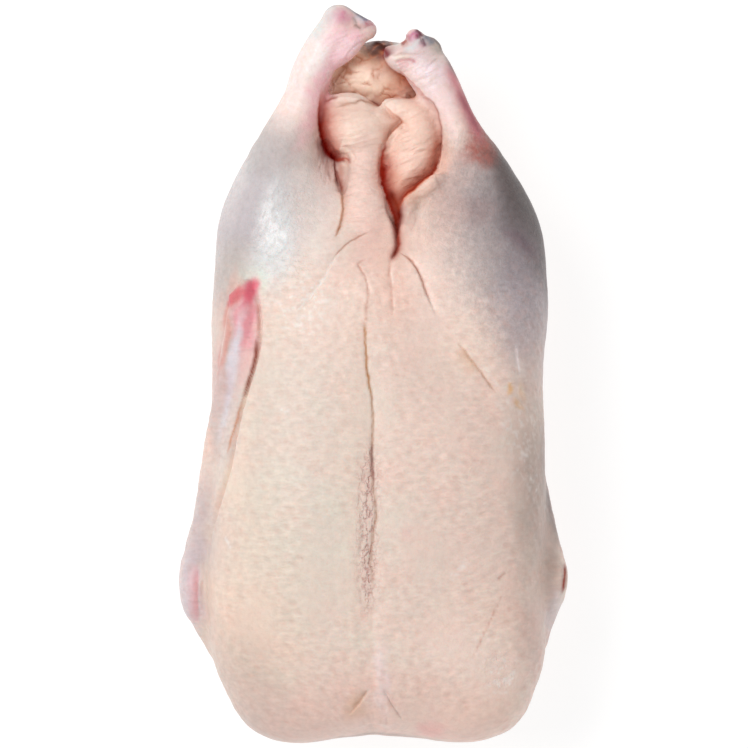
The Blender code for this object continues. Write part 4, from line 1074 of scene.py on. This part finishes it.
# the painted colours come first, and then the sizes and depths of the fine patterns in millimetres;
# only the ripple's size is in steps along the wrapped skin
skinLook = dict(
    base="#ecd3c6",
    blotchPink="#f3ccbe",
    blotchSizes=(17, 7),
    pinkShare=0.5,
    blotchCream="#e8dccd",
    creamShare=0.4,
    # painted shade in the gaps between the pad's lumps of fat
    vein="#c47a58",
    veinShare=0.85,
    bendSizes=(14, 4),  # painted ovals are bent by two noises of these sizes, this far
    bendBy=(4, 1.2),
    lineEdge=0.22,  # width of a line's steep flank, as a share of its half width
    raggedBy=0.5,  # lines are ragged by this much, at this size
    raggedSize=2.6,
    wetBase=0.06,
    gloss=0.5,
    dullFrom=0.75,  # lines stronger than this take the shine away, over this much of their width
    dullWidth=1.3,
    mottleSize=3.4,
    mottleShade=0.045,
    fleckSize=1.5,
    fleckTint="#ecc8bc",
    fleckAmount=0.14,
    rippleSize=2.3,
    rippleStretch=0.42,
    rippleShade=0.045,
    rippleDepth=0.3,
    cloudSize=3.2,
    cloudShade=0.16,
    netTint="#c08a82",
    netAmount=0.7,
    netStretch=0.4,
    netSize=2.8,
    netBend=2.2,
    netBendSize=3,
    netDepth=0.5,
    poreDark="#cf9c8a",
    poreTint=0.16,
    poreDepth=0.22,
    grainSize=1.1,
    grainDepth=0.3,
    grainOn=0.25,
    grainOff=0.6,
    grainThigh=1.0,
    crinkleSize=2.6,
    crinkleStrength=0.5,
    crinkleDepth=0.22,
    strandDepth=1.2,
    filmSize=2.0,
    filmDepth=0.55,
    roughness=0.42,
    coatRoughness=0.2,
    glow=0.2,
    glowReach=3.5,
)


def paint(colour, weight, code):
    # moves each point's colour a share of the way to another one
    colour += weight * (linearColour(code) - colour)


def skinColour(points, nearTop, overWall, veins, look):
    nearTop, overWall = nearTop[:, None], overWall[:, None]
    plan = points.copy()
    bends = [noisePair(points, size, seed) for size, seed in zip(look["bendSizes"], (21, 23))]
    plan[:, :2] += bends[0] * look["bendBy"][0] + bends[1] * look["bendBy"][1]
    colour = np.tile(linearColour(look["base"]), (len(points), 1))
    large, small = look["blotchSizes"]
    blotch = noiseField(points, large, 25) + 0.5 * noiseField(points, small, 26)
    paint(colour, smoothStep(0.05, 0.6, blotch)[:, None] * look["pinkShare"], look["blotchPink"])
    paint(colour, smoothStep(0.05, 0.6, -blotch)[:, None] * look["creamShare"], look["blotchCream"])
    low = smoothStep(*padLevels, points[:, 2])[:, None]
    underHocks = smoothStep(57, 52, points[:, 2]) * planMask(points, padCentre, (36, 25), 0, 0.2)
    mottle = (0.85 + 0.5 * noiseField(points, 1.7, 27) + 0.3 * noiseField(points, 4, 28))[:, None]
    glintSpecks = smoothStep(0.12, 0.4, noiseField(points * (1, 1.6, 1), 3, 31))[:, None]
    for name, centre, half, turn, code, strength, soft in skinPatches:
        weight = (planMask(plan, centre, half, turn, soft) * strength)[:, None]
        weight *= nearTop if name in darkPlaces else overWall
        if name.startswith("pad"):
            weight *= low
        if name.startswith(("shank", "hock")):
            weight *= mottle * (1 - underHocks[:, None])
        if name.startswith("speck"):
            # the painted glints are broken into specks
            weight *= glintSpecks
        paint(colour, weight, code)
    ragged = points.copy()
    ragged[:, :2] += look["raggedBy"] * noisePair(points, look["raggedSize"], 29)
    for name, line, half, code, strength, side in skinStrokes:
        weight = (strokeWeight(ragged, line, half, side, look["lineEdge"]) * strength)[:, None] * nearTop
        if name.startswith("pad"):
            weight *= low
        paint(colour, weight, code)
    # painted shade in the gaps between the lumps of fat
    paint(colour, (veins * look["veinShare"])[:, None], look["vein"])
    for name, centre, half, turn, share, soft in skinTones:
        weight = planMask(plan, centre, half, turn, soft)[:, None] * nearTop
        colour *= 1 + weight * (np.array(share) - 1)
    return np.clip(colour, 0, 1)


def addUp(points, places, total):
    # a starting amount with those of all the named ovals
    for name, centre, half, turn, amount, soft in places:
        total = total + amount * planMask(points, centre, half, turn, soft)
    return total


def wetAndGloss(points, look):
    # the wet film and the shine both end in the deep lines
    wet = addUp(points, wetPlaces, look["wetBase"])
    gloss = np.full(len(points), look["gloss"])
    for name, line, half, code, strength, side in skinStrokes:
        if strength > look["dullFrom"]:
            shut = 1 - strokeWeight(points, line, half * look["dullWidth"], side, look["lineEdge"])
            wet, gloss = wet * shut, gloss * shut
    return wet, gloss


def addMark(obj, name, values):
    # numbers painted on the points: one, a place of three, or a colour of four
    values = np.ascontiguousarray(values.reshape(len(values), -1), dtype=np.float32)
    kinds = {1: ("FLOAT", "value"), 3: ("FLOAT_VECTOR", "vector"), 4: ("FLOAT_COLOR", "color")}
    kind, key = kinds[values.shape[1]]
    obj.data.attributes.new(name, kind, "POINT").data.foreach_set(key, values.ravel())


# marks lie on the side that shows: lines and dark places end at the outline, and broad tints run on
# down the walls
clefts = planMask(points, *cleftPlace, 0, 0.2) * smoothStep(*cleftLevels, points[:, 2])
nearTop = np.maximum(smoothStep(-0.12, 0.2, calmNormals[:, 2]), clefts)
overWall = np.maximum(smoothStep(-0.5, 0.1, calmNormals[:, 2]), clefts)
colour = skinColour(points, nearTop, overWall, veins, skinLook)
wet, gloss = wetAndGloss(points, skinLook)
marks.update(
    thighStrength=np.clip(addUp(points, thighCloud, 0) * nearTop, 0, 1),
    gloss=gloss,
    netStrength=strokeWeight(points, netPath, netHalf, 0) * nearTop,
    wetness=np.clip(wet * nearTop, 0, 1),
)
addMark(duck, "skinColour", np.hstack([colour, np.ones((len(points), 1))]))
for name, values in marks.items():
    addMark(duck, name, values)
duck.data.shade_smooth()
print("coloured")


def addNode(tree, kind, settings=None, **links):
    # one node with its settings and what feeds its inputs: in3 is input number 3, From_Min is "From Min"
    node = tree.nodes.new(kind)
    for key, value in (settings or {}).items():
        setattr(node, key, value)
    for key, value in links.items():
        numbered = key.startswith("in") and key[2:].isdigit()
        socket = node.inputs[int(key[2:]) if numbered else key.replace("_", " ")]
        if isinstance(value, bpy.types.NodeSocket):
            tree.links.new(value, socket)
        else:
            socket.default_value = value
    return node


# raw duck skin: soft light that sinks in and comes back pink, fine pores, a moist film with small glints
def skinMaterial(look):
    material = bpy.data.materials.new("raw duck skin")
    material.use_nodes = True
    tree = material.node_tree
    tree.nodes.clear()
    place = addNode(tree, "ShaderNodeTexCoord").outputs["Object"]
    painted = {}
    for name, output in (
        ("skinColour", "Color"),
        ("poreLattice", "Vector"),
        ("skinPlace", "Vector"),
        ("strandPlace", "Vector"),
        ("poreStrength", "Fac"),
        ("thighStrength", "Fac"),
        ("netStrength", "Fac"),
        ("strandStrength", "Fac"),
        ("wetness", "Fac"),
        ("gloss", "Fac"),
    ):
        painted[name] = addNode(tree, "ShaderNodeAttribute", dict(attribute_name=name)).outputs[output]

    # noises through the flesh: the size of their lumps, detail, roughness, distortion
    noises = {}
    for name, size, detail, rough, bent in (
        ("mottle", look["mottleSize"], 2.0, 0.5, 0.0),
        ("fleck", look["fleckSize"], 2.0, 0.5, 0.0),
        ("cloud", look["cloudSize"], 5.0, 0.68, 0.4),
        ("netBend", look["netBendSize"], 1.0, 0.5, 0.0),
        ("grain", look["grainSize"], 3.0, 0.6, 0.0),
        ("crinkle", look["crinkleSize"], 2.0, 0.5, 0.6),
        ("film", look["filmSize"], 2.0, 0.5, 0.8),
    ):
        noises[name] = addNode(
            tree, "ShaderNodeTexNoise", Vector=place, Scale=1 / (size * mm), Detail=detail, Roughness=rough,
            Distortion=bent,
        ).outputs

    # fine waves across the breast, strands along the wrinkles, and one soft dot at each feather pore
    stretched = addNode(
        tree, "ShaderNodeMapping", Vector=painted["skinPlace"], Scale=(look["rippleStretch"], 1, 1)
    )
    ripple = addNode(
        tree, "ShaderNodeTexNoise", dict(noise_dimensions="2D"), Vector=stretched.outputs["Vector"],
        Scale=1 / look["rippleSize"], Detail=1.5, Roughness=0.55,
    )
    strand = addNode(
        tree, "ShaderNodeTexNoise", Vector=painted["strandPlace"], Scale=0.9, Detail=1.5, Roughness=0.5
    )
    pores = addNode(
        tree, "ShaderNodeTexVoronoi", dict(voronoi_dimensions="2D", feature="F1"),
        Vector=painted["poreLattice"], Scale=1.0, Randomness=0.7,
    )

    # the fine network on the keel, stretched along it and bent a little
    netPlace = addNode(tree, "ShaderNodeMapping", Vector=place, Scale=(1, look["netStretch"], 1))
    netBent = addNode(
        tree, "ShaderNodeMix", dict(data_type="VECTOR", blend_type="MIX"), in0=look["netBend"] * mm,
        in4=netPlace.outputs["Vector"], in5=noises["netBend"]["Color"],
    )
    netCells = addNode(
        tree, "ShaderNodeTexVoronoi", dict(feature="DISTANCE_TO_EDGE"), Vector=netBent.outputs[1],
        Scale=1 / (look["netSize"] * mm),
    )

    # what each of these gives: the value, its range, what that becomes, and how
    fleck = noises["fleck"]["Fac"]
    given = {}
    for name, value, low, high, start, end, way in (
        ("poreDot", pores.outputs["Distance"], 0.0, 0.42, 1.0, 0.0, "SMOOTHSTEP"),
        ("netLine", netCells.outputs["Distance"], 0.0, 0.22, 1.0, 0.0, "SMOOTHSTEP"),
        ("netSeen", fleck, 0.35, 0.6, 0.15, 1.0, "LINEAR"),
        ("fleck", fleck, 0.5, 0.72, 0.0, look["fleckAmount"], "LINEAR"),
        ("grain", painted["poreStrength"], 0.0, 1.0, look["grainOff"], look["grainOn"], "LINEAR"),
        ("film", painted["wetness"], 0.1, 0.35, 0.0, 1.0, "LINEAR"),
    ):
        given[name] = addNode(
            tree, "ShaderNodeMapRange", dict(interpolation_type=way), Value=value, From_Min=low,
            From_Max=high, To_Min=start, To_Max=end,
        ).outputs["Result"]
    for name, value, share in (
        ("mottle", noises["mottle"]["Fac"], look["mottleShade"]),
        ("ripple", ripple.outputs["Fac"], look["rippleShade"]),
        ("cloud", noises["cloud"]["Fac"], look["cloudShade"]),
    ):
        given[name] = addNode(
            tree, "ShaderNodeMapRange", Value=value, From_Min=0.3, From_Max=0.7, To_Min=1 - share,
            To_Max=1 + share,
        ).outputs["Result"]

    # products, each of two numbers that are there by then
    given.update(painted, netAmount=look["netAmount"], poreTint=look["poreTint"])
    for name, first, second in (
        ("pores", "poreDot", "poreStrength"),
        ("netShown", "netSeen", "netStrength"),
        ("net", "netLine", "netShown"),
        ("netColour", "net", "netAmount"),
        ("poreColour", "pores", "poreTint"),
    ):
        given[name] = addNode(
            tree, "ShaderNodeMath", dict(operation="MULTIPLY"), in0=given[first], in1=given[second]
        ).outputs[0]
    grainStrength = addNode(
        tree, "ShaderNodeMath", dict(operation="MULTIPLY_ADD"), in0=painted["thighStrength"],
        in1=look["grainThigh"], in2=given["grain"],
    )

    # colour: the painted skin, mottled, flecked, rippled, clouded on the thighs, with the net and the pores
    skin = painted["skinColour"]
    for blend, amount, other in (
        ("MULTIPLY", 1.0, given["mottle"]),
        ("MULTIPLY", given["fleck"], (*linearColour(look["fleckTint"]), 1.0)),
        ("MULTIPLY", painted["poreStrength"], given["ripple"]),
        ("MULTIPLY", painted["thighStrength"], given["cloud"]),
        ("MIX", given["netColour"], (*linearColour(look["netTint"]), 1.0)),
        ("MIX", given["poreColour"], (*linearColour(look["poreDark"]), 1.0)),
    ):
        settings = dict(data_type="RGBA", blend_type=blend)
        skin = addNode(tree, "ShaderNodeMix", settings, in0=amount, in6=skin, in7=other).outputs[2]

    # relief, from the net at the bottom to the wet film on top: height, depth, strength, sunk or raised
    relief = None
    for height, depth, strength, sunk in (
        (given["net"], look["netDepth"], 1.0, True),
        (ripple.outputs["Fac"], look["rippleDepth"], painted["poreStrength"], False),
        (given["pores"], look["poreDepth"], 1.0, True),
        (noises["grain"]["Fac"], look["grainDepth"], grainStrength.outputs[0], False),
        (noises["crinkle"]["Fac"], look["crinkleDepth"], look["crinkleStrength"], False),
        (strand.outputs["Fac"], look["strandDepth"], painted["strandStrength"], False),
        (noises["film"]["Fac"], look["filmDepth"], given["film"], False),
    ):
        bump = addNode(
            tree, "ShaderNodeBump", dict(invert=sunk), Height=height, Distance=depth * mm, Strength=strength
        )
        if relief:
            tree.links.new(relief, bump.inputs["Normal"])
        relief = bump.outputs["Normal"]

    surface = addNode(
        tree, "ShaderNodeBsdfPrincipled", Base_Color=skin, Normal=relief, Roughness=look["roughness"],
        Subsurface_Weight=look["glow"], Subsurface_Radius=(1.0, 0.42, 0.3),
        Subsurface_Scale=look["glowReach"] * mm, Specular_IOR_Level=painted["gloss"],
        Coat_Weight=painted["wetness"], Coat_Roughness=look["coatRoughness"], IOR=1.4,
    )
    addNode(tree, "ShaderNodeOutputMaterial", Surface=surface.outputs[0])
    return material


duck.data.materials.clear()
duck.data.materials.append(skinMaterial(skinLook))
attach(duck, "root")
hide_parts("duck")
print("skinned")

# metres and watts: a camera straight above, a large light from the left, a small one for the glints,
# and a pale floor that isn't part of the bird
studio = dict(
    cameraHeight=3.2,
    cameraAlong=0.00022,
    focusLevel=0.05,
    viewWidth=0.3852,
    worldLight=0.62,
    floorGlow=0.75,
    keyPlace=(-1.15, 0.15, 1.5),
    keySize=0.9,
    keyPower=10.4,
    glintPlace=(-0.62, 0.72, 1.46),
    glintSize=0.5,
    glintPower=6.0,
    floorColour="#9a9a9a",
    floorSize=6,
    floorDrop=0.0002,
    photoSize=748,
    sensorWidth=36,
)


def addStudio(look):
    world = bpy.data.worlds.new("studio")
    world.use_nodes = True
    world.node_tree.nodes["Background"].inputs["Color"].default_value = (1, 1, 1, 1)
    world.node_tree.nodes["Background"].inputs["Strength"].default_value = look["worldLight"]
    bpy.context.scene.world = world

    for name in ("key", "glint"):
        lamp = bpy.data.objects.new(name + "Light", bpy.data.lights.new(name + "Light", "AREA"))
        lamp.data.size = look[name + "Size"]
        lamp.data.energy = look[name + "Power"]
        lamp.location = look[name + "Place"]
        lamp.rotation_euler = (-Vector(look[name + "Place"])).to_track_quat("-Z", "Y").to_euler()
        bpy.context.scene.collection.objects.link(lamp)

    bpy.ops.mesh.primitive_plane_add(size=look["floorSize"], location=(0, 0, -look["floorDrop"]))
    floor = bpy.context.object
    floor.name = "floor"
    # pale studio floor: plain matt paper that glows a little, so it comes out white
    paper = bpy.data.materials.new("pale studio floor")
    paper.use_nodes = True
    shader = paper.node_tree.nodes["Principled BSDF"]
    shader.inputs["Base Color"].default_value = (*linearColour(look["floorColour"]), 1)
    shader.inputs["Roughness"].default_value = 0.9
    shader.inputs["Emission Color"].default_value = (1, 1, 1, 1)
    shader.inputs["Emission Strength"].default_value = look["floorGlow"]
    floor.data.materials.append(paper)

    camera = bpy.data.objects.new("camera", bpy.data.cameras.new("camera"))
    halfPixel = 0.5 * look["viewWidth"] / look["photoSize"]
    camera.location = (halfPixel, look["cameraAlong"], look["cameraHeight"])
    camera.data.sensor_width = look["sensorWidth"]
    distance = look["cameraHeight"] - look["focusLevel"]
    camera.data.lens = look["sensorWidth"] * distance / look["viewWidth"]
    camera.data.clip_end = 20
    bpy.context.scene.collection.objects.link(camera)
    bpy.context.scene.camera = camera
    bpy.context.scene.view_settings.view_transform = "Standard"


addStudio(studio)
print("lit")
